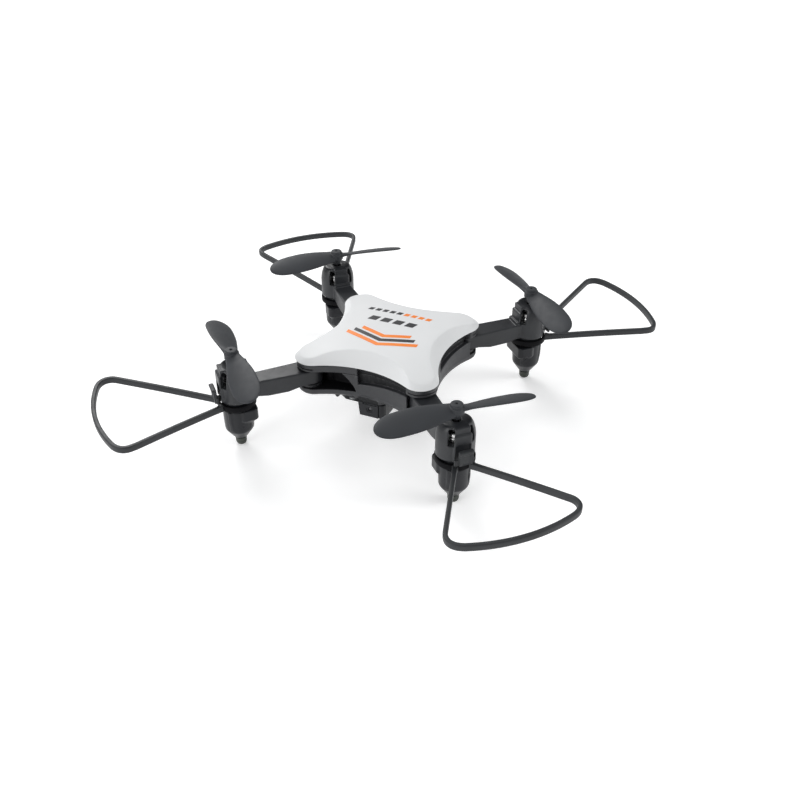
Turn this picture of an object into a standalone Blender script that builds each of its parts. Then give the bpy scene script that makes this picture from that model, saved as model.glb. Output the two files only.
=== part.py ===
"""Folding palm drone, modelled as the separate pieces that it comes apart into.

Metres, +Z up. The origin is on the surface that the feet stand on, under the middle of the body.
The camera looks towards -Y, which is the front. Each arm folds about an upright pin in a body lobe,
and carries a motor pod, a propeller and a guard that turns on the pod.
"""

import math

import bmesh
import bpy
from mathutils import Matrix, Vector

MM = 0.001

# driving dimensions
HALF_SPACING = 33.0 * MM      # from the middle to a motor axis, along X and along Y
PIVOT_REACH = 24.5 * MM       # from the middle to an arm's hinge pin, along the diagonal
COVER_TOP = 27.9 * MM
COVER_DOME = 2.3             # fall of the dome per square metre of reach, in metres
COVER_BASE = 24.0 * MM
FRAME_TOP = 23.7 * MM
FRAME_BASE = 21.7 * MM
ARM_TOP = 21.4 * MM
ARM_BASE = 16.9 * MM
SHELL_TOP = 15.9 * MM
SHELL_BASE = 13.4 * MM
GAP = 0.3 * MM                # play between neighbouring pieces

# body outline: lobes on the diagonals, joined by sides that curve inwards
LOBE_CENTRE = 16.6 * MM
LOBE_RADIUS = 5.2 * MM
SIDE_MIDDLE = 17.6 * MM
FRAME_INSET = 0.4 * MM
WALL = 0.8 * MM
BAND_TOP = 18.6 * MM
CORE_TOP = 21.3 * MM
CORE_HALF = 14.0 * MM
CORE_CORNER = 4.0 * MM

# arm and motor pod
MOTOR_REACH = HALF_SPACING * math.sqrt(2)
LINK = MOTOR_REACH - PIVOT_REACH
ARM_ROOT_HALF = 3.45 * MM
ARM_TIP_HALF = 2.75 * MM
POD_BASE = 16.6 * MM
POD_TOP = 27.0 * MM
POD_SHOULDER = 22.8 * MM
POD_RADIAL = 4.7 * MM
POD_TANGENTIAL = 5.4 * MM
MOTOR_RADIUS = 3.0 * MM
MOTOR_BASE = 7.2 * MM
MOTOR_TOP = 24.2 * MM
CAP_RADIUS = 4.35 * MM
CAP_TOP = 16.3 * MM
CAP_SHOULDER = 6.3 * MM
CAP_BASE = 2.8 * MM
PIN_RADIUS = 1.1 * MM
SHAFT_RADIUS = 0.4 * MM
WINDOW_TURN = 39.0            # angle of each pod window from the line of the arm, in degrees
WINDOW_HALF = 0.7 * MM
WINDOW_BASE = 21.9 * MM
WINDOW_TOP = 25.6 * MM
PAD_RADIUS = 3.3 * MM
PAD_TOP = ARM_BASE - GAP      # the arm's root turns on this pad

# guard
COLLAR_BASE = 14.0 * MM
COLLAR_TOP = 16.2 * MM
COLLAR_RADIUS = 5.5 * MM
GUARD_CORNER = 34.4 * MM      # where strut and outer bar would meet, out from the pod axis
GUARD_HALF = 18.9 * MM        # half the width there
GUARD_BOW = 4.3 * MM
GUARD_ROUND = 5.0 * MM
GUARD_RISE = 4.3 * MM
TAB_HALF = 1.9 * MM
TAB_TOP = 21.2 * MM
TAB_LEAN = 0.3 * MM           # how much further out the tab's top is than its foot
BAR_THICK = 1.25 * MM
BAR_HEIGHT = 1.9 * MM

# propeller
PROP_RADIUS = 22.4 * MM
BLADE_HEIGHT = 30.0 * MM
BLADE_DROOP = 1.1 * MM       # how much lower the tip is than the root
HUB_TOP = 32.0 * MM
HUB_BASE = 27.5 * MM

# underside
BATTERY_HALF_X = 9.7 * MM
BATTERY_HALF_Y = 10.8 * MM
BATTERY_Y = 1.7 * MM
CAMERA_X = 1.4 * MM
CAMERA_FRONT = -17.6 * MM
BUTTON_AT = (-7.6 * MM, -12.3 * MM)
BUTTON_RADIUS = 1.5 * MM
SCREW_REACH = 18.3 * MM
SCREW_HEAD = 1.4 * MM
SCREW_SHANK = 0.6 * MM
LIGHT_AT = (-4.6 * MM, -15.6 * MM)
LENS_Z = 11.0 * MM

CORNERS = {"front_left": -135, "front_right": -45, "back_right": 45, "back_left": 135}
COUNTER_CLOCKWISE = ("front_left", "back_right")
PROP_STOP = 89.0              # angle of the stopped blades to their arm, in degrees


def clear_scene():
    for thing in list(bpy.data.objects):
        bpy.data.objects.remove(thing)


# ---------------------------------------------------------------- materials

def finish(name, colour, roughness, metallic=0.0):
    material = bpy.data.materials.new(name)
    material.use_nodes = True
    shader = material.node_tree.nodes["Principled BSDF"]
    shader.inputs["Base Color"].default_value = (*colour, 1.0)
    shader.inputs["Roughness"].default_value = roughness
    shader.inputs["Metallic"].default_value = metallic
    return material


def make_finishes():
    return {
        "shell_white": finish("shell_white", (0.76, 0.78, 0.79), 0.32),
        "body_charcoal": finish("body_charcoal", (0.055, 0.058, 0.064), 0.45),
        "guard_charcoal": finish("guard_charcoal", (0.05, 0.053, 0.058), 0.5),
        "blade_charcoal": finish("blade_charcoal", (0.06, 0.064, 0.07), 0.42),
        "motor_steel": finish("motor_steel", (0.62, 0.62, 0.63), 0.25, 1.0),
        "pin_steel": finish("pin_steel", (0.5, 0.5, 0.52), 0.3, 1.0),
        "foot_rubber": finish("foot_rubber", (0.045, 0.055, 0.045), 0.6),
        "cell_wrap": finish("cell_wrap", (0.05, 0.12, 0.35), 0.4),
        "board_green": finish("board_green", (0.02, 0.16, 0.07), 0.5),
        "lens_glass": finish("lens_glass", (0.02, 0.02, 0.03), 0.05),
        "light_clear": finish("light_clear", (0.7, 0.72, 0.7), 0.15),
        "button_grey": finish("button_grey", (0.12, 0.12, 0.13), 0.5),
    }


# ------------------------------------------------------------ mesh tools

def keep(name, bm, smooth=35):
    """Turns the bmesh into a linked object with its faces pointing out."""
    bmesh.ops.recalc_face_normals(bm, faces=bm.faces)
    mesh = bpy.data.meshes.new(name)
    bm.to_mesh(mesh)
    bm.free()
    mesh.shade_smooth()
    mesh.set_sharp_from_angle(angle=math.radians(smooth))
    thing = bpy.data.objects.new(name, mesh)
    bpy.context.scene.collection.objects.link(thing)
    return thing


def loft(name, rings, closed=False):
    """Skin through rings of equally many points. An open loft is capped at both ends."""
    bm = bmesh.new()
    loops = [[bm.verts.new(point) for point in ring] for ring in rings]
    following = loops[1:] + loops[:1] if closed else loops[1:]
    for lower, upper in zip(loops, following):
        for i in range(len(lower)):
            j = (i + 1) % len(lower)
            bm.faces.new((lower[i], lower[j], upper[j], upper[i]))
    if not closed:
        bm.faces.new(loops[0][::-1])
        bm.faces.new(loops[-1])
    return keep(name, bm)


def prism(name, outline, low, high, holes=()):
    """Upright plate from z = low to z = high, with holes through it."""
    bm = bmesh.new()
    edges = []
    for loop in (outline, *holes):
        verts = [bm.verts.new((point[0], point[1], low)) for point in loop]
        edges += [bm.edges.new(pair) for pair in zip(verts, verts[1:] + verts[:1])]
    bmesh.ops.triangle_fill(bm, use_beauty=True, use_dissolve=False, edges=edges)
    extruded = bmesh.ops.extrude_face_region(bm, geom=bm.faces[:])["geom"]
    top = [item for item in extruded if isinstance(item, bmesh.types.BMVert)]
    bmesh.ops.translate(bm, verts=top, vec=(0, 0, high - low))
    return keep(name, bm)


def box(name, low, high):
    outline = [(low[0], low[1]), (high[0], low[1]), (high[0], high[1]), (low[0], high[1])]
    return prism(name, outline, low[2], high[2])


def circle(radius, z=0.0, steps=24, centre=(0.0, 0.0), stretch=1.0):
    """Ring of points; stretch widens it along Y."""
    ring = []
    for i in range(steps):
        angle = math.tau * i / steps
        x = centre[0] + radius * math.cos(angle)
        y = centre[1] + radius * stretch * math.sin(angle)
        ring.append(Vector((x, y, z)))
    return ring


def turned(name, profile, steps=24, centre=(0.0, 0.0), closed=False):
    """Solid turned about an upright axis from (radius, height) pairs."""
    rings = [circle(radius, z, steps, centre) for radius, z in profile]
    return loft(name, rings, closed)


def rounded_rectangle(half_x, half_y, corner, z=0.0, centre=(0.0, 0.0), steps=4):
    ring = []
    signs = ((1, 1), (-1, 1), (-1, -1), (1, -1))
    for quarter, (side_x, side_y) in enumerate(signs):
        for i in range(steps + 1):
            angle = math.pi / 2 * (quarter + i / steps)
            x = centre[0] + side_x * (half_x - corner) + corner * math.cos(angle)
            y = centre[1] + side_y * (half_y - corner) + corner * math.sin(angle)
            ring.append(Vector((x, y, z)))
    return ring


def boolean(target, tool, operation):
    """Applies the Boolean to the target and takes the tool away."""
    change = target.modifiers.new("shape", "BOOLEAN")
    change.operation = operation
    change.object = tool
    change.solver = "EXACT"
    graph = bpy.context.evaluated_depsgraph_get()
    mesh = bpy.data.meshes.new_from_object(target.evaluated_get(graph))
    target.modifiers.clear()
    target.data = mesh
    bpy.data.objects.remove(tool)


def join(target, *tools):
    for tool in tools:
        boolean(target, tool, "UNION")


def cut(target, *tools):
    for tool in tools:
        boolean(target, tool, "DIFFERENCE")


# ------------------------------------------------------------ body outline

def side_radius(lobe_radius, side_middle, lobe_centre=LOBE_CENTRE):
    """Radius of the side arc that meets the lobes without a corner."""
    step = side_middle - lobe_centre
    return (lobe_centre**2 + step**2 - lobe_radius**2) / (2 * (lobe_radius - step))


def star(lobe_radius, side_middle, z=0.0, lobe_centre=LOBE_CENTRE, steps=7):
    """Four round lobes on the diagonals, joined by arcs that curve inwards."""
    radius = side_radius(lobe_radius, side_middle, lobe_centre)
    arc_centre = side_middle + radius
    meet = math.atan2(-(arc_centre - lobe_centre), -lobe_centre)
    lobe_end = -math.pi / 2 - meet
    ring = []
    for quarter in range(4):
        turn = Matrix.Rotation(math.pi / 2 * quarter, 3, "Z")
        for i in range(steps):
            angle = meet + (lobe_end - meet) * i / steps
            x = lobe_centre + lobe_radius * math.cos(angle)
            y = -lobe_centre + lobe_radius * math.sin(angle)
            ring.append(turn @ Vector((x, y, z)))
        for i in range(steps):
            angle = math.pi + lobe_end - 2 * lobe_end * i / steps
            x = arc_centre + radius * math.cos(angle)
            y = radius * math.sin(angle)
            ring.append(turn @ Vector((x, y, z)))
    return ring


def inset_star(inset, z=0.0):
    return star(LOBE_RADIUS - inset, SIDE_MIDDLE - inset, z)


def diagonal(reach, turn):
    angle = math.radians(turn)
    return (reach * math.cos(angle), reach * math.sin(angle))


# ------------------------------------------------------------ body pieces

def domed(ring, drop):
    """The ring laid on the cover's dome, a little below it by drop. The dome falls towards the lobes."""
    for point in ring:
        reach = math.hypot(point.x, point.y)
        point.z = COVER_TOP - COVER_DOME * reach**2 - drop
    return ring


def make_top_cover():
    """Thin white shell: upright rim, flanks scooped between the lobes and a gently domed top."""
    rim_top = COVER_BASE + 1.4 * MM
    rings = [
        domed(star(2.6 * MM, 10.5 * MM, lobe_centre=16.1 * MM), 0.9 * MM),
        domed(star(3.2 * MM, 11.4 * MM, lobe_centre=16.4 * MM), MM),
        star(LOBE_RADIUS - WALL, SIDE_MIDDLE - WALL, rim_top - 0.2 * MM),
        star(LOBE_RADIUS - WALL, SIDE_MIDDLE - WALL, COVER_BASE),
        star(LOBE_RADIUS, SIDE_MIDDLE, COVER_BASE),
        star(LOBE_RADIUS, SIDE_MIDDLE, rim_top),
        domed(star(3.9 * MM, 12.2 * MM, lobe_centre=16.5 * MM), 0.15 * MM),
        domed(star(3.3 * MM, 11.3 * MM, lobe_centre=16.4 * MM), 0.0),
        domed(star(1.6 * MM, 6.0 * MM, lobe_centre=8.0 * MM), 0.0),
    ]
    return loft("top_cover", rings)


def make_upper_frame():
    """Dark rim under the cover, open in the middle for the board."""
    holes = [rounded_rectangle(CORE_HALF - 0.5 * MM, CORE_HALF - 0.5 * MM, 6.7 * MM)]
    for turn in CORNERS.values():
        holes.append(circle(PIN_RADIUS + GAP, steps=12, centre=diagonal(PIVOT_REACH, turn)))
        holes.append(circle(SCREW_SHANK + GAP, steps=12, centre=diagonal(SCREW_REACH, turn)))
    return prism("upper_frame", inset_star(FRAME_INSET), FRAME_BASE, FRAME_TOP, holes)


def band_wall(turn):
    """Curved wall beside the bay of one folded arm, with the rib that closes its end."""
    inset = FRAME_INSET + 0.1 * MM
    radius = side_radius(LOBE_RADIUS - inset, SIDE_MIDDLE - inset)
    centre_y = -(SIDE_MIDDLE - inset + radius)
    start, end, thick = -3.0 * MM, 14.2 * MM, 1.1 * MM
    outline = []
    steps = 8
    for reach, order in ((radius, range(steps + 1)), (radius + thick, range(steps, -1, -1))):
        for i in order:
            angle = math.asin((start + (end - start) * i / steps) / radius)
            outline.append((reach * math.sin(angle), centre_y + reach * math.cos(angle)))
    wall = prism("band", outline, SHELL_TOP - 0.5 * MM, BAND_TOP)
    rib_outline = [(-3.0 * MM, -16.9 * MM), (-2.0 * MM, -16.8 * MM),
                   (-4.6 * MM, -13.4 * MM), (-5.8 * MM, -13.4 * MM)]
    rib = prism("rib", rib_outline, SHELL_TOP - 0.5 * MM, CORE_TOP - 0.2 * MM)
    join(wall, rib)
    wall.data.transform(Matrix.Rotation(math.radians(turn), 4, "Z"))
    return wall


def make_lower_shell():
    """Dark tub: lobed floor, battery box, pivot pads, curved side walls and screw bosses."""
    inset = FRAME_INSET + 0.1 * MM
    floor = loft("lower_shell", [inset_star(inset + MM, SHELL_BASE),
                                 inset_star(inset, SHELL_BASE + MM),
                                 inset_star(inset, SHELL_TOP)])
    core = prism("core", rounded_rectangle(CORE_HALF, CORE_HALF, CORE_CORNER),
                 SHELL_BASE + 0.5 * MM, CORE_TOP)
    join(floor, core)
    for turn in CORNERS.values():
        pad_centre = diagonal(PIVOT_REACH, turn)
        boss_centre = diagonal(SCREW_REACH, turn)
        join(floor,
             prism("pad", circle(PAD_RADIUS, centre=pad_centre, steps=16),
                   SHELL_TOP - 0.5 * MM, PAD_TOP),
             prism("boss", circle(SCREW_HEAD + GAP, centre=boss_centre, steps=12),
                   SHELL_TOP - 0.5 * MM, CORE_TOP))
    for turn in (0, 90, 180, 270):
        join(floor, band_wall(turn))
    room = 0.3 * MM
    cavity = prism("cavity", rounded_rectangle(BATTERY_HALF_X + room, BATTERY_HALF_Y + room, MM,
                                               centre=(0.0, BATTERY_Y)), SHELL_BASE - MM, 20.5 * MM)
    button_bore = prism("bore", circle(BUTTON_RADIUS + GAP, centre=BUTTON_AT, steps=20),
                        SHELL_BASE - MM, 17.9 * MM)
    light_bore = prism("bore", circle(1.3 * MM, centre=LIGHT_AT, steps=16),
                       SHELL_BASE - MM, 15.1 * MM)
    lead_slot = box("slot", (-2.5 * MM, -6.0 * MM, 20.0 * MM), (2.5 * MM, -4.5 * MM, 22.0 * MM))
    cut(floor, cavity, button_bore, light_bore, lead_slot)
    for turn in CORNERS.values():
        pad_centre = diagonal(PIVOT_REACH, turn)
        boss_centre = diagonal(SCREW_REACH, turn)
        cut(floor,
            turned("bore", [(PIN_RADIUS + GAP, 14.6 * MM), (PIN_RADIUS + GAP, 17.5 * MM)],
                   12, pad_centre),
            turned("bore", [(SCREW_HEAD + GAP, SHELL_BASE - MM), (SCREW_HEAD + GAP, 14.9 * MM),
                            (SCREW_SHANK + GAP, 14.95 * MM), (SCREW_SHANK + GAP, 22.0 * MM)],
                   12, boss_centre))
    return floor


def make_battery_cover():
    """Door that fills the opening in the underside."""
    centre = (0.0, BATTERY_Y)
    top = SHELL_BASE + 1.1 * MM
    rings = [rounded_rectangle(BATTERY_HALF_X - 0.3 * MM, BATTERY_HALF_Y - 0.3 * MM, 1.2 * MM,
                               SHELL_BASE, centre),
             rounded_rectangle(BATTERY_HALF_X, BATTERY_HALF_Y, 1.2 * MM,
                               SHELL_BASE + 0.3 * MM, centre),
             rounded_rectangle(BATTERY_HALF_X, BATTERY_HALF_Y, 1.2 * MM, top, centre)]
    return loft("battery_cover", rings)


def make_battery():
    """Flat pouch cell with softly rounded edges."""
    centre = (0.0, BATTERY_Y)
    low, high, ease = 14.9 * MM, 20.1 * MM, 1.0 * MM
    rings = []
    for inset, z in ((ease, low), (0.0, low + ease), (0.0, high - ease), (ease, high)):
        rings.append(rounded_rectangle(BATTERY_HALF_X - 0.2 * MM - inset,
                                       BATTERY_HALF_Y - 0.2 * MM - inset, 1.2 * MM, z, centre))
    return loft("battery", rings)


def make_main_board():
    """Circuit board in the frame's opening, with its largest parts."""
    half = CORE_HALF - 1.2 * MM
    low = CORE_TOP + GAP
    board = prism("main_board", rounded_rectangle(half, half, 5.8 * MM), low, low + 0.9 * MM)
    top = low + 0.8 * MM
    for x, y, wide, deep, tall in ((0, 2, 5, 5, 1.0), (-7, -3, 3, 4, 1.2), (6, 5, 4, 3, 1.6),
                                   (6, -6, 5, 3, 1.0)):
        join(board, box("chip", ((x - wide / 2) * MM, (y - deep / 2) * MM, top),
                        ((x + wide / 2) * MM, (y + deep / 2) * MM, top + tall * MM)))
    return board


def make_camera():
    """Housing under the front edge, with a lens in its face and a sensor board behind."""
    low, high = 8.9 * MM, SHELL_BASE - GAP
    half, back = 3.7 * MM, -10.9 * MM
    corner = 1.5 * MM
    outline = [(CAMERA_X - half, CAMERA_FRONT), (CAMERA_X + half - 0.8 * MM, CAMERA_FRONT)]
    for i in range(5):
        angle = -math.pi / 2 + math.pi / 2 * i / 4
        outline.append((CAMERA_X + half - 0.1 * MM + corner * math.cos(angle) - 0.4 * MM,
                        CAMERA_FRONT + corner + corner * math.sin(angle)))
    outline += [(CAMERA_X + half + MM, back), (CAMERA_X - half, back)]
    housing = prism("camera_housing", outline, low, high)
    chamber = box("room", (CAMERA_X - 2.7 * MM, CAMERA_FRONT + 1.6 * MM, low + 0.8 * MM),
                  (CAMERA_X + 2.7 * MM, back - 0.9 * MM, high + MM))
    bore = turned("bore", [(1.5 * MM, -2.2 * MM), (1.5 * MM, MM)], 20)
    bore.data.transform(Matrix.Translation((CAMERA_X, CAMERA_FRONT, LENS_Z))
                        @ Matrix.Rotation(math.pi / 2, 4, "X"))
    cut(housing, chamber, bore)
    lens = turned("camera_lens", [(0.9 * MM, -1.9 * MM), (1.2 * MM, -1.6 * MM),
                                  (1.2 * MM, -0.3 * MM), (0.8 * MM, -0.1 * MM)], 20)
    lens.data.transform(Matrix.Translation((CAMERA_X, CAMERA_FRONT, LENS_Z))
                        @ Matrix.Rotation(math.pi / 2, 4, "X"))
    sensor = box("camera_board", (CAMERA_X - 2.3 * MM, CAMERA_FRONT + 2.4 * MM, low + 1.1 * MM),
                 (CAMERA_X + 2.3 * MM, CAMERA_FRONT + 3.2 * MM, high - 0.2 * MM))
    return housing, lens, sensor


def make_light():
    return turned("status_light", [(0.7 * MM, SHELL_BASE - 0.3 * MM), (1.0 * MM, SHELL_BASE),
                                   (1.0 * MM, 14.8 * MM)], 16, LIGHT_AT)


def make_button():
    """Push button in the underside, just proud of it."""
    low = SHELL_BASE - 0.7 * MM
    return turned("power_button", [(BUTTON_RADIUS - 0.3 * MM, low),
                                   (BUTTON_RADIUS, low + 0.3 * MM),
                                   (BUTTON_RADIUS, low + 4.1 * MM)], 20, BUTTON_AT)


def make_screw(name, turn):
    """Body screw from below: round head with a cross recess, and a plain shank."""
    centre = diagonal(SCREW_REACH, turn)
    head, seat = SHELL_BASE + 0.3 * MM, 14.6 * MM
    screw = turned(name, [(SCREW_HEAD - 0.3 * MM, head), (SCREW_HEAD, head + 0.3 * MM),
                          (SCREW_HEAD, seat), (SCREW_SHANK, seat),
                          (SCREW_SHANK, FRAME_TOP - 0.9 * MM)], 12, centre)
    reach, half = 0.8 * MM, 0.15 * MM
    for size_x, size_y in ((reach, half), (half, reach)):
        cut(screw, box("recess", (centre[0] - size_x, centre[1] - size_y, head - MM),
                       (centre[0] + size_x, centre[1] + size_y, head + 0.5 * MM)))
    return screw


# ------------------------------------------------------------ arm pieces, out along +X from the pin

def arm_outline():
    """Bar with a round end on the pin that narrows towards the pod."""
    outline = []
    steps = 10
    for i in range(steps + 1):
        angle = math.pi / 2 + math.pi * i / steps
        outline.append((ARM_ROOT_HALF * math.cos(angle), ARM_ROOT_HALF * math.sin(angle)))
    outline += [(LINK - 2.0 * MM, -ARM_TIP_HALF), (LINK - 2.0 * MM, ARM_TIP_HALF)]
    return outline


def make_arm():
    """Bar and upper half of the motor pod in one moulding, bored for pin, motor and shaft."""
    axis = (LINK, 0.0)
    stretch = POD_TANGENTIAL / POD_RADIAL
    profile = ((POD_RADIAL - 0.3 * MM, POD_BASE), (POD_RADIAL, POD_BASE + 0.5 * MM),
               (POD_RADIAL, POD_SHOULDER), (4.2 * MM, 24.8 * MM), (3.7 * MM, 26.4 * MM),
               (3.2 * MM, POD_TOP))
    pod = loft("arm", [circle(radius, z, 24, axis, stretch) for radius, z in profile])
    pin_hole = circle(PIN_RADIUS + GAP, steps=16)
    bar = prism("bar", arm_outline(), ARM_BASE, ARM_TOP, [pin_hole])
    join(pod, bar)
    bore = turned("bore", [(MOTOR_RADIUS + GAP, POD_BASE - MM), (MOTOR_RADIUS + GAP, 24.6 * MM)],
                  24, axis)
    shaft_hole = turned("bore", [(1.3 * MM, 24.0 * MM), (1.3 * MM, POD_TOP + MM)], 16, axis)
    cut(pod, bore, shaft_hole)
    for turn in (WINDOW_TURN, -WINDOW_TURN, 180 - WINDOW_TURN, 180 + WINDOW_TURN):
        window = box("window", (2.0 * MM, -WINDOW_HALF, WINDOW_BASE),
                     (8.0 * MM, WINDOW_HALF, WINDOW_TOP))
        window.data.transform(Matrix.Translation((LINK, 0.0, 0.0))
                              @ Matrix.Rotation(math.radians(turn), 4, "Z"))
        cut(pod, window)
    return pod


def make_pin():
    return turned("arm_pin", [(PIN_RADIUS - 0.2 * MM, 14.9 * MM), (PIN_RADIUS, 15.1 * MM),
                              (PIN_RADIUS, 23.3 * MM), (PIN_RADIUS - 0.2 * MM, 23.5 * MM)], 16)


def make_pod_cap():
    """Lower half of the pod: a cup with a conical end and a broad shoulder on the side of the arm."""
    bore = MOTOR_RADIUS + GAP
    cup = turned("pod_cap", [(1.9 * MM, CAP_BASE), (4.15 * MM, CAP_SHOULDER),
                             (CAP_RADIUS, 13.0 * MM), (CAP_RADIUS, CAP_TOP),
                             (bore, CAP_TOP), (bore, MOTOR_BASE - GAP)], 24)
    outline = [(0.5, 5.0), (-3.2, 5.0), (-5.0, 3.2), (-5.0, -3.2), (-3.2, -5.0), (0.5, -5.0)]
    rings = []
    for size, z in ((0.7, 9.6 * MM), (1.0, 11.8 * MM), (1.0, COLLAR_BASE - GAP)):
        rings.append([Vector((x * size * MM, y * size * MM, z)) for x, y in outline])
    join(cup, loft("shoulder", rings))
    cut(cup, turned("bore", [(bore, MOTOR_BASE + MM), (bore, CAP_TOP + MM)], 24))
    return cup


def make_foot():
    return turned("foot", [(0.9 * MM, 0.0), (1.35 * MM, 0.25 * MM), (1.62 * MM, 0.9 * MM),
                           (1.65 * MM, CAP_BASE - GAP)], 20)


def make_motor():
    return turned("motor", [(MOTOR_RADIUS - 0.3 * MM, MOTOR_BASE),
                            (MOTOR_RADIUS, MOTOR_BASE + 0.3 * MM),
                            (MOTOR_RADIUS, MOTOR_TOP - 0.3 * MM),
                            (MOTOR_RADIUS - 0.3 * MM, MOTOR_TOP)], 24)


# ------------------------------------------------------------ guard, about the pod axis

def guard_path():
    """Middle line of the bar: out along one strut, round the bowed outer side and back."""
    root = Vector((4.7 * MM, 2.2 * MM))
    corner = Vector((GUARD_CORNER, GUARD_HALF))
    radius = (GUARD_HALF**2 + GUARD_BOW**2) / (2 * GUARD_BOW)
    centre = GUARD_CORNER + GUARD_BOW - radius
    half_angle = math.asin(GUARD_HALF / radius)
    leave = corner - (corner - root).normalized() * GUARD_ROUND
    arrive_angle = half_angle - GUARD_ROUND / radius
    arrive = Vector((centre + radius * math.cos(arrive_angle), radius * math.sin(arrive_angle)))
    half = [root.lerp(leave, share) for share in (0.0, 0.15, 0.3, 0.7, 1.0)]
    for share in (0.17, 0.33, 0.5, 0.67, 0.83, 1.0):
        half.append(leave.lerp(corner, share).lerp(corner.lerp(arrive, share), share))
    for share in (0.2, 0.4, 0.6, 0.8, 1.0):
        angle = arrive_angle * (1 - share)
        half.append(Vector((centre + radius * math.cos(angle), radius * math.sin(angle))))
    mirrored = [Vector((point.x, -point.y)) for point in half[-2::-1]]
    return half + mirrored


def bar_height(x):
    """Height of the bar's middle line: level by the collar, then rising outwards."""
    start, end = 6.0 * MM, GUARD_CORNER - 3.0 * MM
    share = min(max((x - start) / (end - start), 0.0), 1.0)
    return (COLLAR_BASE + COLLAR_TOP) / 2 + GUARD_RISE * share


def make_guard():
    """Collar round the pod, a bar bent to a loop that ends in the collar, and an upright tab."""
    path = guard_path()
    rings = []
    for i, point in enumerate(path):
        before = path[max(i - 1, 0)]
        after = path[min(i + 1, len(path) - 1)]
        along = (after - before).normalized()
        across = Vector((-along.y, along.x)) * BAR_THICK / 2
        middle = bar_height(point.x)
        low, high = middle - BAR_HEIGHT / 2 + 0.06 * MM, middle + BAR_HEIGHT / 2 - 0.06 * MM
        rings.append([Vector((*(point - across), low)), Vector((*(point + across), low)),
                      Vector((*(point + across), high)), Vector((*(point - across), high))])
    bar = loft("bar", rings)
    guard = turned("guard", [(CAP_RADIUS + GAP, COLLAR_BASE), (COLLAR_RADIUS, COLLAR_BASE),
                             (COLLAR_RADIUS, COLLAR_TOP), (CAP_RADIUS + GAP, COLLAR_TOP)],
                   24, closed=True)
    rings = []
    foot_in = COLLAR_RADIUS + 0.1 * MM
    for inner, outer, z in ((foot_in - 0.5 * MM, foot_in + 0.7 * MM, COLLAR_BASE + 0.1 * MM),
                            (foot_in - 0.5 * MM, foot_in + MM, COLLAR_TOP - 0.1 * MM),
                            (foot_in, foot_in + MM, COLLAR_TOP + 0.4 * MM),
                            (foot_in + TAB_LEAN, foot_in + TAB_LEAN + MM, TAB_TOP)):
        rings.append([Vector((inner, -TAB_HALF, z)), Vector((outer, -TAB_HALF, z)),
                      Vector((outer, TAB_HALF, z)), Vector((inner, TAB_HALF, z))])
    tab = loft("tab", rings)
    join(guard, bar, tab)
    cut(guard, turned("bore", [(CAP_RADIUS + GAP, 10.0 * MM), (CAP_RADIUS + GAP, 18.0 * MM)], 24))
    return guard


# ------------------------------------------------------------ rotor, blades out along X

def chord(reach):
    """Width of the blade at a distance from the axis: narrow root, broad paddle, round tip."""
    share = reach / PROP_RADIUS
    broad = 3.6 * MM + 4.1 * MM * math.sin(min(share / 0.62, 1.0) * math.pi / 2)**1.4
    tip = math.sqrt(max(1.0 - max((share - 0.62) / 0.38, 0.0)**2.6, 0.0))
    return max(broad * tip, 0.6 * MM)


def blade_section(reach, sense):
    """Cambered section across the blade; the side that leads in the turn is the higher one."""
    share = reach / PROP_RADIUS
    width = chord(reach)
    pitch = math.radians(24.0 - 7.0 * share) * sense
    thick = 0.9 * MM - 0.45 * MM * share
    ring = []
    across = (-0.5, -0.2, 0.2, 0.5, 0.2, -0.2)
    for i, y_share in enumerate(across):
        full = 1.0 - (2 * y_share)**2
        side = 1.0 if i in (1, 2) else -1.0
        y = y_share * width
        z = 0.07 * width * full + side * thick * 0.5 * math.sqrt(full)
        middle = BLADE_HEIGHT - BLADE_DROOP * share**2
        height = middle + y * math.sin(pitch) + z * math.cos(pitch)
        ring.append(Vector((reach, y * math.cos(pitch) - z * math.sin(pitch), height)))
    return ring


def make_propeller(name, sense):
    """Two pitched blades on a stepped hub with a blind bore for the shaft."""
    hub = turned(name, [(1.35 * MM, HUB_BASE), (1.45 * MM, 29.0 * MM), (2.05 * MM, 29.4 * MM),
                        (2.05 * MM, 31.2 * MM), (1.7 * MM, 31.7 * MM), (1.0 * MM, HUB_TOP)], 16)
    reaches = [share * MM for share in (1.1, 3.0, 6.0, 9.0, 12.0, 15.0, 17.5, 19.5, 21.0, 22.0)]
    reaches.append(PROP_RADIUS)
    for turn in (0.0, math.pi):
        blade = loft("blade", [blade_section(reach, sense) for reach in reaches])
        blade.data.transform(Matrix.Rotation(turn, 4, "Z"))
        join(hub, blade)
    cut(hub, turned("bore", [(SHAFT_RADIUS + GAP, HUB_BASE - MM), (SHAFT_RADIUS + GAP, 30.9 * MM)], 12))
    return hub


def make_shaft():
    return turned("motor_shaft", [(SHAFT_RADIUS, MOTOR_TOP + GAP), (SHAFT_RADIUS, 30.6 * MM)], 12)


# ------------------------------------------------------------ assembly

def empty(name, place, turn=0.0, parent=None):
    marker = bpy.data.objects.new(name, None)
    marker.empty_display_size = 5 * MM
    bpy.context.scene.collection.objects.link(marker)
    marker.location = place
    marker.rotation_euler = (0.0, 0.0, math.radians(turn))
    marker.parent = parent
    return marker


def dress(thing, material, parent=None):
    thing.data.materials.clear()
    thing.data.materials.append(material)
    thing.data.shade_smooth()
    thing.data.set_sharp_from_angle(angle=math.radians(35))
    thing.parent = parent
    return thing


def place(pattern, name, parent):
    """Another copy of a finished piece, sharing its mesh."""
    copy = bpy.data.objects.new(name, pattern.data)
    bpy.context.scene.collection.objects.link(copy)
    copy.parent = parent
    return copy


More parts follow.
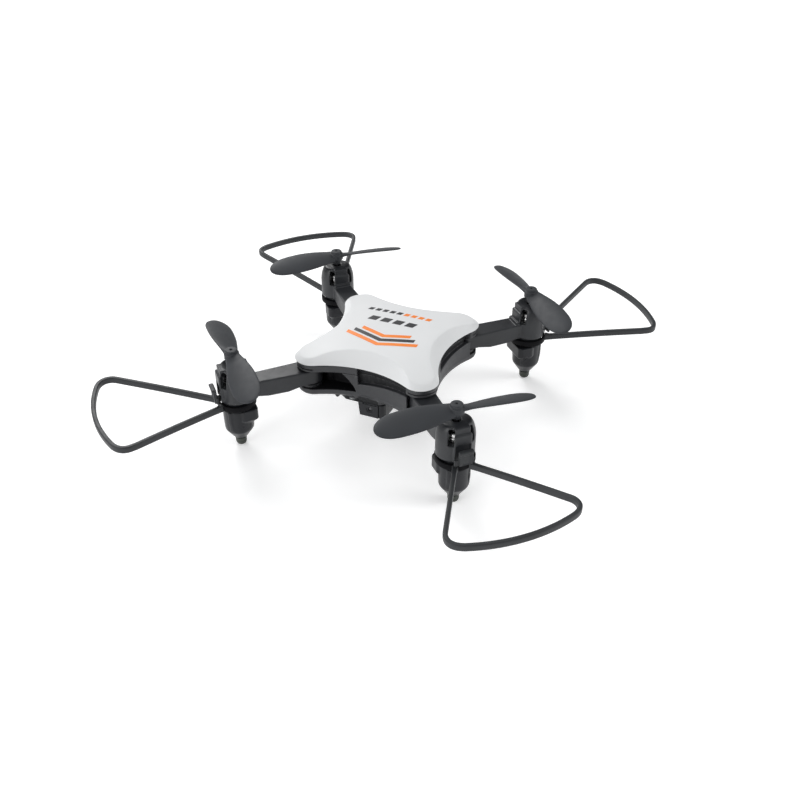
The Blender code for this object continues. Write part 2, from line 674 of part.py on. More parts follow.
def build_body(finishes):
    charcoal = finishes["body_charcoal"]
    dress(make_top_cover(), finishes["shell_white"])
    dress(make_upper_frame(), charcoal)
    dress(make_lower_shell(), charcoal)
    dress(make_battery_cover(), charcoal)
    dress(make_battery(), finishes["cell_wrap"])
    dress(make_main_board(), finishes["board_green"])
    housing, lens, sensor = make_camera()
    dress(housing, charcoal)
    dress(lens, finishes["lens_glass"])
    dress(sensor, finishes["board_green"])
    dress(make_light(), finishes["light_clear"])
    button = dress(make_button(), finishes["button_grey"])
    button.data.transform(Matrix.Translation((-BUTTON_AT[0], -BUTTON_AT[1], 0.0)))
    button.location = (*BUTTON_AT, 0.0)
    for corner, turn in CORNERS.items():
        dress(make_screw("body_screw_" + corner, turn), finishes["pin_steel"])


def build_arms(finishes):
    charcoal = finishes["body_charcoal"]
    steel = finishes["pin_steel"]
    at_pin = {
        "arm": dress(make_arm(), charcoal),
        "arm_pin": dress(make_pin(), steel),
    }
    at_pod = {
        "pod_cap": dress(make_pod_cap(), charcoal),
        "foot": dress(make_foot(), finishes["foot_rubber"]),
        "motor": dress(make_motor(), finishes["motor_steel"]),
        "guard": dress(make_guard(), finishes["guard_charcoal"]),
    }
    propellers = {
        1: dress(make_propeller("propeller", 1), finishes["blade_charcoal"]),
        -1: dress(make_propeller("propeller", -1), finishes["blade_charcoal"]),
    }
    shaft = dress(make_shaft(), steel)
    for corner, turn in CORNERS.items():
        pin = empty("pivot_" + corner, (*diagonal(PIVOT_REACH, turn), 0.0), turn)
        pod = empty("pod_axis_" + corner, (LINK, 0.0, 0.0), 0.0, pin)
        for name, pattern in at_pin.items():
            place(pattern, name + "_" + corner, pin)
        for name, pattern in at_pod.items():
            place(pattern, name + "_" + corner, pod)
        spin = empty("spin_" + corner, (0.0, 0.0, 0.0), PROP_STOP, pod)
        sense = 1 if corner in COUNTER_CLOCKWISE else -1
        place(propellers[sense], "propeller_" + corner, spin)
        place(shaft, "motor_shaft_" + corner, spin)
    for pattern in (*at_pin.values(), *at_pod.values(), *propellers.values(), shaft):
        bpy.data.objects.remove(pattern)


clear_scene()
all_finishes = make_finishes()
build_body(all_finishes)
build_arms(all_finishes)
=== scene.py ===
"""Looks of the folding palm drone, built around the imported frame."""

import math

import bmesh
import bpy
import numpy as np
from mathutils import Matrix, Vector


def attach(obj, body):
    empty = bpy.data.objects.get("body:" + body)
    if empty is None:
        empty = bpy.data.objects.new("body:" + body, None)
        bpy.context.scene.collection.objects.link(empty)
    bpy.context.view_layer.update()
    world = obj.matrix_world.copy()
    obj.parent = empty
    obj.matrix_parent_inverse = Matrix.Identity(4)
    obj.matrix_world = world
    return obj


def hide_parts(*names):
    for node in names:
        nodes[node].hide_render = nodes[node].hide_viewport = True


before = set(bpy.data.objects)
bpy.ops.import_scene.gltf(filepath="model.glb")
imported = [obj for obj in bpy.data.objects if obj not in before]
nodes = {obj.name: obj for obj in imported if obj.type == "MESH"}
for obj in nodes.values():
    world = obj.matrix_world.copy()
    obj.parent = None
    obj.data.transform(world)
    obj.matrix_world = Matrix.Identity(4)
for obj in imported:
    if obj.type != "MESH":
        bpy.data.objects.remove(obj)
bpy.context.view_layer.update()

MM = 0.001

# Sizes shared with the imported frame, in millimetres. A reach is measured from the middle of the
# drone along its diagonals, and a height from the surface that it stands on.
PIVOT_REACH = 24.5
MOTOR_REACH = 46.669
LINK = 22.169  # from an arm's pin to its motor
SCREW_REACH = 18.3
LOBE_CENTRE = 16.6
LOBE_RADIUS = 5.2
SIDE_MIDDLE = 17.6
PIN_HOLE, SCREW_HOLE, MOTOR_BORE = 1.4, 0.9, 3.3  # radii
BUTTON_AT = (-7.6, -12.3)
LIGHT_AT = (-4.6, -15.6)
CAMERA_AT = (1.4, -17.6, 11.0)
DOOR_MIDDLE = 1.7
CORNERS = {"front_left": -135, "front_right": -45, "back_right": 45, "back_left": 135}
COUNTER_CLOCKWISE = ("front_left", "back_right")

# Sizes of the looks, in millimetres and degrees
COVER_SEAM, COVER_EDGE, COVER_LEVEL = 24.2, 24.34, 24.9  # heights
COVER_TOP, COVER_FALL, COVER_CURL = 28.1, 0.0012, 0.000003  # of the dome
COVER_WALL = 1.2
RIM_LOW, RIM_TOP = 21.7, 23.95
TUB_LOW, TUB_FLOOR = 13.4, 15.9
BAY_LOW, BAY_TOP = 15.3, 21.64
CAMERA_LOW, CAMERA_TOP = 8.4, 13.1
BAR_LOW, BAR_TOP, POD_TOP = 16.0, 21.4, 27.0
BLADE_REACH, BLADE_HEIGHT = 22.4, 30.0
PROP_STOP = 89.0
SCREW_STOP = 20.0
DIAGONAL = math.sqrt(2)


# ------------------------------------------------------------ distances, in millimetres

def soft_min(a, b, ease):
    """The nearer of two distances: both solids, with a fillet where they meet."""
    blend = np.maximum(ease - np.abs(a - b), 0.0)
    return np.minimum(a, b) - blend * blend / (4 * ease)


def soft_max(a, b, ease):
    """What two solids share, with its edge rounded."""
    return -soft_min(-a, -b, ease)


def without(a, b, ease=0.2):
    """The first solid with the second cut out of it."""
    return soft_max(a, -b, ease)


def slab(z, low, high):
    """Distance to the layer between two levels."""
    return np.abs(z - (low + high) / 2) - (high - low) / 2


def plate(flat, z, low, high, ease):
    """Upright plate of a flat outline, with its edges rounded."""
    side = flat + ease
    rise = slab(z, low, high) + ease
    outer = np.hypot(np.maximum(side, 0), np.maximum(rise, 0))
    return np.minimum(np.maximum(side, rise), 0) + outer - ease


def rectangle(x, y, half_x, half_y, corner=0.0):
    """Flat distance to a rectangle about the origin."""
    across = np.abs(x) - half_x + corner
    along = np.abs(y) - half_y + corner
    outer = np.hypot(np.maximum(across, 0), np.maximum(along, 0))
    return np.minimum(np.maximum(across, along), 0) + outer - corner


def brick(x, y, z, centre, half, ease):
    """Block with all its edges rounded."""
    flat = rectangle(x - centre[0], y - centre[1], half[0], half[1], ease)
    return plate(flat, z, centre[2] - half[2], centre[2] + half[2], ease)


def outline_distance(u, v, points):
    """Signed distance to a closed outline of straight edges."""
    nearest = np.full(u.shape, 1e9)
    inside = np.zeros(u.shape, bool)
    for (ax, ay), (bx, by) in zip(points, points[1:] + points[:1]):
        ex, ey = bx - ax, by - ay
        share = np.clip(((u - ax) * ex + (v - ay) * ey) / (ex * ex + ey * ey), 0, 1)
        nearest = np.minimum(nearest, (u - ax - ex * share)**2 + (v - ay - ey * share)**2)
        if ey:
            inside ^= ((ay > v) != (by > v)) & (u < ax + ex * (v - ay) / ey)
    return np.sqrt(nearest) * np.where(inside, -1.0, 1.0)


def side_radius(lobe_radius, side_middle, lobe_centre):
    """Radius of the inward side that runs smoothly into the lobes at its ends."""
    step = side_middle - lobe_centre
    return (lobe_centre**2 + step**2 - lobe_radius**2) / (2 * (lobe_radius - step))


def star_distance(x, y):
    """Distance to the body's outline: lobes on the diagonals, joined by inward sides."""
    radius = side_radius(LOBE_RADIUS, SIDE_MIDDLE, LOBE_CENTRE)
    centre = SIDE_MIDDLE + radius
    wide, narrow = np.maximum(np.abs(x), np.abs(y)), np.minimum(np.abs(x), np.abs(y))
    beyond = (wide - centre) * LOBE_CENTRE - narrow * (LOBE_CENTRE - centre) > 0
    lobe = np.hypot(wide - LOBE_CENTRE, narrow - LOBE_CENTRE) - LOBE_RADIUS
    return np.where(beyond, lobe, radius - np.hypot(wide - centre, narrow))


# ------------------------------------------------------------ meshes

def mesh_of(name, points, faces, sharp=None):
    """Object from points in millimetres."""
    mesh = bpy.data.meshes.new(name)
    mesh.from_pydata((np.asarray(points) * MM).tolist(), [], [list(face) for face in faces])
    work = bmesh.new()
    work.from_mesh(mesh)
    bmesh.ops.recalc_face_normals(work, faces=work.faces)
    work.to_mesh(mesh)
    work.free()
    mesh.shade_smooth()
    if sharp:
        mesh.set_sharp_from_angle(angle=math.radians(sharp))
    thing = bpy.data.objects.new(name, mesh)
    bpy.context.scene.collection.objects.link(thing)
    return thing


def thinned(thing, share):
    """Fewer faces, with the normals kept even."""
    change = thing.modifiers.new("thin", "DECIMATE")
    change.ratio = share
    even = thing.modifiers.new("even", "WEIGHTED_NORMAL")
    even.weight = 60
    graph = bpy.context.evaluated_depsgraph_get()
    mesh = bpy.data.meshes.new_from_object(
        thing.evaluated_get(graph), preserve_all_data_layers=True, depsgraph=graph)
    thing.modifiers.clear()
    thing.data = mesh
    return thing


def skin(name, field, low, high, step, share=0.4):
    """Mesh of the surface where the distance field is nought, by surface nets."""
    axes = [np.arange(a - 2 * step, b + 3 * step, step) for a, b in zip(low, high)]
    value = field(*np.meshgrid(*axes, indexing="ij"))
    size = value.shape
    origin = np.array([axis[0] for axis in axes])
    cells = int(np.prod(size))
    total = np.zeros((3, cells))
    count = np.zeros(cells)
    quads = []
    stride = np.array([size[1] * size[2], size[2], 1])
    for axis in range(3):
        first = np.delete(value, -1, axis)
        second = np.delete(value, 0, axis)
        at = np.argwhere((first < 0) != (second < 0))
        a = first[tuple(at.T)]
        b = second[tuple(at.T)]
        spot = at.astype(float)
        spot[:, axis] += a / (a - b)
        one, two = stride[(axis + 1) % 3], stride[(axis + 2) % 3]
        here = at @ stride
        around = [here - one - two, here - two, here, here - one]
        for cell in around:
            count += np.bincount(cell, minlength=cells)
            for i in range(3):
                total[i] += np.bincount(cell, weights=spot[:, i], minlength=cells)
        ring = np.stack(around, 1)
        quads.append(np.where((a < 0)[:, None], ring, ring[:, ::-1]))
    used = np.flatnonzero(count)
    number = np.zeros(cells, int)
    number[used] = np.arange(len(used))
    points = (total[:, used] / count[used]).T * step + origin
    for _ in range(2):
        now = field(*points.T)
        slope = np.stack([(field(*(points + d).T) - field(*(points - d).T)) / 0.02
                          for d in np.eye(3) * 0.01], 1)
        steep = np.maximum((slope**2).sum(1), 0.2)
        points -= slope * np.clip(now / steep, -step / 2, step / 2)[:, None]
    thing = mesh_of(name, points, number[np.concatenate(quads)].tolist())
    return thinned(thing, share) if share < 1 else thing


def loft(name, rings, sharp=40, closed=False):
    """Skin through closed rings of equally many points, capped at both ends unless it closes."""
    count, levels = len(rings[0]), len(rings)
    faces = []
    if not closed:
        faces = [tuple(range(count))[::-1], tuple(count * (levels - 1) + i for i in range(count))]
    for level in range(levels if closed else levels - 1):
        for i in range(count):
            j = (i + 1) % count
            low, high = level * count, (level + 1) % levels * count
            faces.append((low + i, low + j, high + j, high + i))
    return mesh_of(name, np.concatenate([np.asarray(ring, float) for ring in rings]), faces, sharp)


def eased(points, size, steps=4):
    """The open line of points with its corners rounded. Size is one number or one for each corner."""
    points = [np.array(point, float) for point in points]
    sizes = size if isinstance(size, (list, tuple)) else [size] * (len(points) - 2)
    line = [points[0]]
    for before, corner, after, most in zip(points, points[1:], points[2:], sizes):
        back, on = before - corner, after - corner
        back_length, on_length = np.linalg.norm(back), np.linalg.norm(on)
        reach = min(most, 0.48 * back_length, 0.48 * on_length)
        start, end = corner + back / back_length * reach, corner + on / on_length * reach
        for i in range(steps + 1):
            t = i / steps
            line.append((1 - t)**2 * start + 2 * t * (1 - t) * corner + t * t * end)
    line.append(points[-1])
    return line


def turned(name, profile, ease, steps=64, centre=(0.0, 0.0)):
    """Solid turned about an upright axis from (radius, height) pairs, its corners rounded."""
    angle = np.arange(steps) * math.tau / steps
    rings = []
    for radius, z in eased(profile, ease):
        radius = max(radius, 0.01)
        rings.append(np.stack([centre[0] + radius * np.cos(angle),
                               centre[1] + radius * np.sin(angle), np.full(steps, z)], 1))
    return loft(name, rings)


def merged(name, *things, second=None):
    """One object of several, which keep their own surfaces. The second finish goes on one of them."""
    work = bmesh.new()
    for thing in things:
        before = len(work.faces)
        work.from_mesh(thing.data)
        work.faces.ensure_lookup_table()
        for face in work.faces[before:]:
            face.material_index = 1 if thing is second else 0
    mesh = bpy.data.meshes.new(name)
    work.to_mesh(mesh)
    work.free()
    mesh.shade_smooth()
    mesh.set_sharp_from_angle(angle=math.radians(40))
    for thing in things:
        bpy.data.objects.remove(thing)
    joined = bpy.data.objects.new(name, mesh)
    bpy.context.scene.collection.objects.link(joined)
    return joined


# ------------------------------------------------------------ materials

GRAIN_DEPTH = 0.00002  # metres
NOISE_LOW, NOISE_HIGH = 0.3, 0.7  # where most of a noise's values lie


def graph_of(name):
    """New node material, with its tree and its shader."""
    material = bpy.data.materials.new(name)
    material.use_nodes = True
    tree = material.node_tree
    return material, tree, tree.nodes["Principled BSDF"]


def noise(tree, scale, detail=3.0, rough=0.5):
    """Noise that stays with the piece. Scale is in waves per metre."""
    place = tree.nodes.new("ShaderNodeTexCoord")
    texture = tree.nodes.new("ShaderNodeTexNoise")
    texture.inputs["Scale"].default_value = scale
    texture.inputs["Detail"].default_value = detail
    texture.inputs["Roughness"].default_value = rough
    tree.links.new(place.outputs["Object"], texture.inputs["Vector"])
    return texture.outputs["Fac"]


def ranged(tree, value, low, high):
    """Noise spread over the range from low to high."""
    span = tree.nodes.new("ShaderNodeMapRange")
    span.inputs["From Min"].default_value = NOISE_LOW
    span.inputs["From Max"].default_value = NOISE_HIGH
    span.inputs["To Min"].default_value = low
    span.inputs["To Max"].default_value = high
    tree.links.new(value, span.inputs["Value"])
    return span.outputs["Result"]


def blended(tree, value, first, second):
    """Colour that goes from the first to the second with the value."""
    mix = tree.nodes.new("ShaderNodeMix")
    mix.data_type = "RGBA"
    mix.inputs["A"].default_value = (*first, 1.0)
    mix.inputs["B"].default_value = (*second, 1.0)
    tree.links.new(value, mix.inputs["Factor"])
    return mix.outputs["Result"]


def bumped(tree, shader, value, strength, depth):
    """Fine relief on the shader's normal. Depth is in metres."""
    bump = tree.nodes.new("ShaderNodeBump")
    bump.inputs["Strength"].default_value = strength
    bump.inputs["Distance"].default_value = depth
    tree.links.new(value, bump.inputs["Height"])
    tree.links.new(bump.outputs["Normal"], shader.inputs["Normal"])


def moulded(name, first, second, rough=(0.4, 0.5), grain=9000.0, strength=0.25,
            specular=0.5, blotch=120.0):
    """Moulded plastic: slight drift of colour, uneven gloss and a fine grain."""
    material, tree, shader = graph_of(name)
    drift = noise(tree, blotch, 4.0)
    tree.links.new(blended(tree, ranged(tree, drift, 0.0, 1.0), first, second),
                   shader.inputs["Base Color"])
    tree.links.new(ranged(tree, noise(tree, blotch * 4, 5.0, 0.6), *rough),
                   shader.inputs["Roughness"])
    shader.inputs["Specular IOR Level"].default_value = specular
    bumped(tree, shader, noise(tree, grain, 2.0), strength, GRAIN_DEPTH)
    return material


def metal(name, first, second, rough=(0.18, 0.34)):
    """Drawn steel: streaks along the turning marks and uneven gloss."""
    material, tree, shader = graph_of(name)
    place = tree.nodes.new("ShaderNodeTexCoord")
    stretch = tree.nodes.new("ShaderNodeMapping")
    stretch.inputs["Scale"].default_value = (200.0, 200.0, 6000.0)
    texture = tree.nodes.new("ShaderNodeTexNoise")
    texture.inputs["Scale"].default_value = 1.0
    texture.inputs["Detail"].default_value = 5.0
    tree.links.new(place.outputs["Object"], stretch.inputs["Vector"])
    tree.links.new(stretch.outputs["Vector"], texture.inputs["Vector"])
    streak = texture.outputs["Fac"]
    tree.links.new(blended(tree, ranged(tree, streak, 0.0, 1.0), first, second),
                   shader.inputs["Base Color"])
    tree.links.new(ranged(tree, streak, *rough), shader.inputs["Roughness"])
    shader.inputs["Metallic"].default_value = 1.0
    bumped(tree, shader, streak, 0.2, GRAIN_DEPTH)
    return material


def board_green():
    """Solder mask with copper tracks under it."""
    material, tree, shader = graph_of("board_green")
    place = tree.nodes.new("ShaderNodeTexCoord")
    tracks = tree.nodes.new("ShaderNodeTexBrick")
    tracks.inputs["Scale"].default_value = 420.0
    tracks.inputs["Color1"].default_value = (0.012, 0.12, 0.05, 1.0)
    tracks.inputs["Color2"].default_value = (0.016, 0.16, 0.07, 1.0)
    tracks.inputs["Mortar"].default_value = (0.05, 0.3, 0.12, 1.0)
    tracks.inputs["Mortar Size"].default_value = 0.06
    tree.links.new(place.outputs["Object"], tracks.inputs["Vector"])
    tree.links.new(tracks.outputs["Color"], shader.inputs["Base Color"])
    tree.links.new(ranged(tree, noise(tree, 900.0), 0.3, 0.5), shader.inputs["Roughness"])
    bumped(tree, shader, tracks.outputs["Fac"], 0.3, 0.00003)
    return material


def glass(name, first, second, rough, weight, coat):
    """Clear or dark moulding. Weight is the share of light that it lets through."""
    material, tree, shader = graph_of(name)
    drift = noise(tree, 500.0)
    tree.links.new(blended(tree, ranged(tree, drift, 0.0, 1.0), first, second),
                   shader.inputs["Base Color"])
    tree.links.new(ranged(tree, drift, *rough), shader.inputs["Roughness"])
    shader.inputs["Transmission Weight"].default_value = weight
    shader.inputs["Coat Weight"].default_value = coat
    shader.inputs["Coat Roughness"].default_value = 0.03
    return material


finishes = {
    "shell_white": moulded("shell_white", (0.70, 0.71, 0.715), (0.74, 0.745, 0.75),
                           (0.42, 0.52), strength=0.1, specular=0.2, blotch=60.0),
    "body_charcoal": moulded("body_charcoal", (0.023, 0.024, 0.027), (0.030, 0.031, 0.035)),
    "arm_charcoal": moulded("arm_charcoal", (0.018, 0.019, 0.022), (0.024, 0.026, 0.029),
                            (0.34, 0.44), specular=0.4),
    "cup_charcoal": moulded("cup_charcoal", (0.011, 0.012, 0.014), (0.016, 0.017, 0.020),
                            (0.26, 0.36), specular=0.28),
    # painted shade: two darker copies of the body's charcoal, for recessed faces and inside faces
    # where shadow falls
    "painted_shade_charcoal": moulded("painted_shade_charcoal", (0.008, 0.0085, 0.010), (0.012, 0.0125, 0.014),
                              (0.45, 0.55), specular=0.2),
    "painted_shade_black": moulded("painted_shade_black", (0.003, 0.003, 0.004), (0.006, 0.006, 0.007),
                           (0.6, 0.75), specular=0.15),
    "collar_black": moulded("collar_black", (0.004, 0.004, 0.005), (0.007, 0.007, 0.008),
                            (0.5, 0.6), specular=0.06),
    "guard_charcoal": moulded("guard_charcoal", (0.024, 0.026, 0.028), (0.032, 0.034, 0.037),
                              (0.42, 0.52), specular=0.3),
    "blade_charcoal": moulded("blade_charcoal", (0.026, 0.028, 0.032), (0.032, 0.035, 0.040),
                              (0.5, 0.6), grain=7000.0, strength=0.15, specular=0.35),
    "motor_steel": metal("motor_steel", (0.55, 0.55, 0.56), (0.75, 0.74, 0.73)),
    "pin_steel": metal("pin_steel", (0.28, 0.28, 0.29), (0.45, 0.45, 0.46), (0.25, 0.4)),
    "foot_rubber": moulded("foot_rubber", (0.030, 0.036, 0.030), (0.042, 0.048, 0.038),
                           (0.5, 0.65), strength=0.5),
    "cell_wrap": moulded("cell_wrap", (0.03, 0.08, 0.28), (0.05, 0.12, 0.36), (0.3, 0.45)),
    "board_green": board_green(),
    "lens_glass": glass("lens_glass", (0.006, 0.006, 0.010), (0.012, 0.010, 0.018),
                        (0.2, 0.3), 0.0, 1.0),
    "light_clear": glass("light_clear", (0.17, 0.175, 0.18), (0.22, 0.225, 0.23),
                         (0.2, 0.35), 0.1, 0.2),
    "button_grey": moulded("button_grey", (0.08, 0.08, 0.088), (0.10, 0.10, 0.108), (0.45, 0.6)),
    "print_orange": moulded("print_orange", (0.86, 0.20, 0.018), (0.90, 0.24, 0.025),
                            (0.3, 0.42), strength=0.1),
    "print_dark": moulded("print_dark", (0.022, 0.022, 0.025), (0.030, 0.030, 0.033),
                          (0.3, 0.42), strength=0.1),
}


def dress(thing, finish):
    """Gives the piece its finish, or its two finishes."""
    indices = [face.material_index for face in thing.data.polygons]
    thing.data.materials.clear()
    for one in finish if isinstance(finish, tuple) else (finish,):
        thing.data.materials.append(finishes[one])
    thing.data.polygons.foreach_set("material_index", indices)
    return thing


def painted_shade_faces(thing, reach, floor, shelf=False):
    """Painted shade: a black finish on the inside faces, and a darker charcoal in the recesses above
    the bay walls and round the camera's seat, where the cover and the walls cast shadow. A shelf gets
    the painted black on top as well."""
    faces = thing.data.polygons
    centre, normal = np.empty(len(faces) * 3), np.empty(len(faces) * 3)
    faces.foreach_get("center", centre)
    faces.foreach_get("normal", normal)
    x, y, z = centre.reshape(-1, 3).T / MM
    up = normal.reshape(-1, 3)[:, 2]
    # painted shade: the recess and seat faces get the darker charcoal, and the inside and shelf faces
    # the black, standing in for shadow
    recess = (np.abs(star_distance(x, y) + 1.9) < 0.25) & (np.abs(up) < 0.5)
    seat = (np.abs(x) < 6.6) & (y < -13.0) & (z < 14.7) & (up < 0.5)
    seat &= (star_distance(x, y) > -0.35) | (z < 13.35)
    inside = (np.maximum(np.abs(x), np.abs(y)) < reach) & (z > floor)
    level = shelf & (up > 0.6) & (np.abs(z - floor) < 0.4)
    finish = np.where(recess | seat, 2, 0)
    finish[inside | level] = 1
    faces.foreach_set("material_index", finish.astype(np.int32))
    return thing


def settle(thing, finish, slot, body, *stands_for):
    """Dressed piece that moves with the body and stands for the CAD nodes."""
    dress(thing, finish)
    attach(thing, body)
    if stands_for:
        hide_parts(*stands_for)
    return thing


# ------------------------------------------------------------ cover

def dome(x, y):
    """Height of the cover's top."""
    spread = x * x + y * y
    return COVER_TOP - COVER_FALL * spread - COVER_CURL * spread * spread


def star_ring(lobe_radius, lobe_centre, sides):
    """Outline with lobes on the diagonals. The sides' middles are right, back, left and front."""
    lobe_steps, side_steps = 14, 18
    points = []
    for turn, side in enumerate(sides):
        before = sides[turn - 1] + side_radius(lobe_radius, sides[turn - 1], lobe_centre)
        radius = side_radius(lobe_radius, side, lobe_centre)
        after = side + radius
        start = math.atan2(lobe_centre - before, -lobe_centre)
        end = math.atan2(lobe_centre, after - lobe_centre)
        quarter = []
        for i in range(lobe_steps):
            angle = start + (end - start) * i / lobe_steps
            quarter.append((lobe_centre + lobe_radius * math.cos(angle),
                            -lobe_centre + lobe_radius * math.sin(angle)))
        for i in range(side_steps):
            angle = math.pi + end - 2 * end * i / side_steps
            quarter.append((after + radius * math.cos(angle), radius * math.sin(angle)))
        for _ in range(turn):
            quarter = [(-y, x) for x, y in quarter]
        points += quarter
    return np.array(points)


def make_cover():
    """White shell. Each control row is lobe radius, lobe centre, share of dome, level height,
    drop below the dome, and the middles of the right, back, left and front sides."""
    outer = eased([
        (5.05, 16.6, 0.0, COVER_SEAM, 0.0, 17.45, 17.45, 17.45, 17.45),
        (5.2, 16.6, 0.0, COVER_EDGE, 0.0, 17.6, 17.6, 17.6, 17.6),
        (4.55, 16.55, 0.5, 24.6, 0.0, 16.15, 16.3, 16.3, 15.35),
        (3.9, 16.5, 1.0, COVER_LEVEL, 0.04, 14.6, 15.0, 15.0, 13.0),
        (3.4, 16.45, 1.0, COVER_LEVEL, 0.0, 13.7, 14.1, 14.1, 12.1),
        (1.6, 8.0, 1.0, COVER_LEVEL, 0.0, 6.0, 6.0, 6.0, 6.0),
        (0.016, 0.08, 1.0, COVER_LEVEL, 0.0, 0.06, 0.06, 0.06, 0.06),
    ], [0.3, 2.0, 0.5, 0.5, 2.0], 6)
    inner = [
        (0.016, 0.08, 1.0, COVER_LEVEL, COVER_WALL, 0.06, 0.06, 0.06, 0.06),
        (1.6, 8.0, 1.0, COVER_LEVEL, COVER_WALL, 6.0, 6.0, 6.0, 6.0),
        (3.0, 16.4, 1.0, COVER_LEVEL, COVER_WALL, 12.0, 12.0, 12.0, 12.0),
        (4.3, 16.6, 0.0, COVER_EDGE, 0.0, 16.6, 16.6, 16.6, 16.6),
        (4.4, 16.6, 0.0, COVER_SEAM, 0.0, 16.8, 16.8, 16.8, 16.8),
    ]
    rows, longest = [], 0.7
    for start, end in zip(outer, outer[1:]):
        pieces = max(1, round(float(np.linalg.norm(end - start)) / longest))
        rows += [start + (end - start) * i / pieces for i in range(pieces)]
    rows.append(outer[-1])
    rings = []
    for lobe_radius, lobe_centre, share, level, drop, *sides in [*inner, *rows]:
        flat = star_ring(lobe_radius, lobe_centre, sides)
        z = (1 - share) * level + share * (dome(*flat.T) - drop)
        rings.append(np.column_stack([flat, z]))
    return loft("cover_shell", rings, 50)


def decal(name, outline, finish):
    """Thin printed patch that follows the dome, cut into a grid so that it can bend."""
    above, below, grid = 0.035, -0.12, 0.75
    work = bmesh.new()
    work.faces.new([work.verts.new((x, y, 0.0)) for x, y in outline])
    for axis in (0, 1):
        for at in range(-18, 19):
            plane = [0.0, 0.0, 0.0]
            plane[axis] = 1.0
            spot = [value * at * grid for value in plane]
            bmesh.ops.bisect_plane(work, geom=work.verts[:] + work.edges[:] + work.faces[:],
                                   plane_co=spot, plane_no=plane, dist=1e-6)
    extruded = bmesh.ops.extrude_face_region(work, geom=work.faces[:])["geom"]
    raised = {item for item in extruded if isinstance(item, bmesh.types.BMVert)}
    for vert in work.verts:
        x, y = vert.co.x, vert.co.y
        vert.co.z = dome(x, y) + (above if vert in raised else below)
        vert.co *= MM
    bmesh.ops.recalc_face_normals(work, faces=work.faces)
    mesh = bpy.data.meshes.new(name)
    work.to_mesh(mesh)
    work.free()
    mesh.shade_smooth()
    mesh.set_sharp_from_angle(angle=math.radians(40))
    thing = bpy.data.objects.new(name, mesh)
    bpy.context.scene.collection.objects.link(thing)
    return settle(thing, finish, "shell_white", "body")


def chevron(apex, half):
    """Bent stripe whose tip is on the drone's middle line."""
    thick, slope = 1.5, 0.33
    rise = slope * half
    return [(0, apex), (half, apex + rise), (half, apex + rise + thick),
            (0, apex + thick), (-half, apex + rise + thick), (-half, apex + rise)]


def slanted(x, y, wide, tall, lean):
    """Leaning block from its near left corner."""
    return [(x, y), (x + wide, y), (x + wide + lean, y + tall), (x + lean, y + tall)]


def make_print():
    """Plain marks: three chevrons, a row of dashes and a row of ticks."""
    for place, apex, half, finish in (("outer", -9.6, 11.0, "print_orange"),
                                      ("middle", -7.3, 9.4, "print_dark"),
                                      ("inner", -5.0, 7.6, "print_orange")):
        decal("print_chevron_" + place, chevron(apex, half), finish)
    for i in range(4):
        decal(f"print_dash_{i}", slanted(-8.4 + 3.9 * i, 3.2, 2.7, 2.4, 0.8), "print_dark")
    for i in range(9):
        decal(f"print_tick_{i}", slanted(-10.8 + 2.3 * i, 8.9, 1.5, 1.5, 0.5),
              "print_dark" if i < 5 else "print_orange")


# ------------------------------------------------------------ body

def frame_field(x, y, z):
    """Dark rim under the cover: stepped at the lobes, and set back above each bay wall."""
    edge = star_distance(x, y)
    solid = plate(edge + 0.4, z, RIM_LOW, RIM_TOP, 0.25)
    wide, deep = np.abs(x), np.abs(y)
    groove = np.maximum(-0.95 - edge, slab(z, 22.45, 22.75))
    solid = without(solid, np.maximum(groove, 14.6 - np.minimum(wide, deep)), 0.12)
    solid = without(solid, rectangle(x, y, 12.0, 12.0, 6.7), 0.3)
    turned_x, turned_y = x, y
    for _ in range(4):
        recess = np.maximum(-1.9 - edge, rectangle(turned_x - 5.7, turned_y + 17.0, 8.1, 4.0, 0.3))
        solid = without(solid, recess, 0.2)
        turned_x, turned_y = turned_y, -turned_x
    for reach, radius in ((PIVOT_REACH, PIN_HOLE), (SCREW_REACH, SCREW_HOLE)):
        at = reach / DIAGONAL
        solid = without(solid, np.hypot(wide - at, deep - at) - radius)
    return solid


def band_field(x, y, z):
    """Curved wall that rises beside the front bay, the taller wall behind it, and the rib
    that closes its end with a curved edge."""
    radius = side_radius(LOBE_RADIUS - 0.5, SIDE_MIDDLE - 0.5, LOBE_CENTRE)
    reach = np.hypot(x, y + SIDE_MIDDLE - 0.5 + radius)
    thick = np.maximum(slab(reach, radius, radius + 1.5), y)
    behind = np.maximum(np.maximum(slab(reach, radius + 1.4, radius + 2.4), y), slab(x, -2.5, 13.4))
    low_end, gain = 18.5, 2.1
    sheared = z - gain * np.clip((x + 3.0) / 17.0, 0.0, 1.0)
    wall = np.maximum(thick, slab(x, -3.0, 14.1))
    wall = plate(wall, sheared, BAY_LOW - gain, low_end, 0.2)
    wall = soft_max(wall, BAY_LOW - z, 0.1)
    wall = soft_min(wall, plate(behind, z, BAY_LOW, BAY_TOP, 0.1), 0.1)
    rise = np.maximum(z - 16.2, 0.0)
    curve = -3.0 - 0.45 * rise - 0.055 * rise * rise
    web = np.maximum(thick, np.maximum(x + 2.3, curve - x))
    return soft_min(wall, plate(web, z, BAY_LOW, BAY_TOP, 0.1), 0.15)


def light_field(x, y, z):
    """Status light: an oval dome in the face of its step, on a stub."""
    x, y = x - LIGHT_AT[0], y - LIGHT_AT[1]
    oval = (np.sqrt((x / 1.0)**2 + ((y + 0.75) / 0.72)**2 + ((z - 12.9) / 0.42)**2) - 1) * 0.42
    return soft_min(oval, brick(x, y, z, (0, 0, 13.7), (0.6, 0.6, 1.0), 0.1), 0.1)


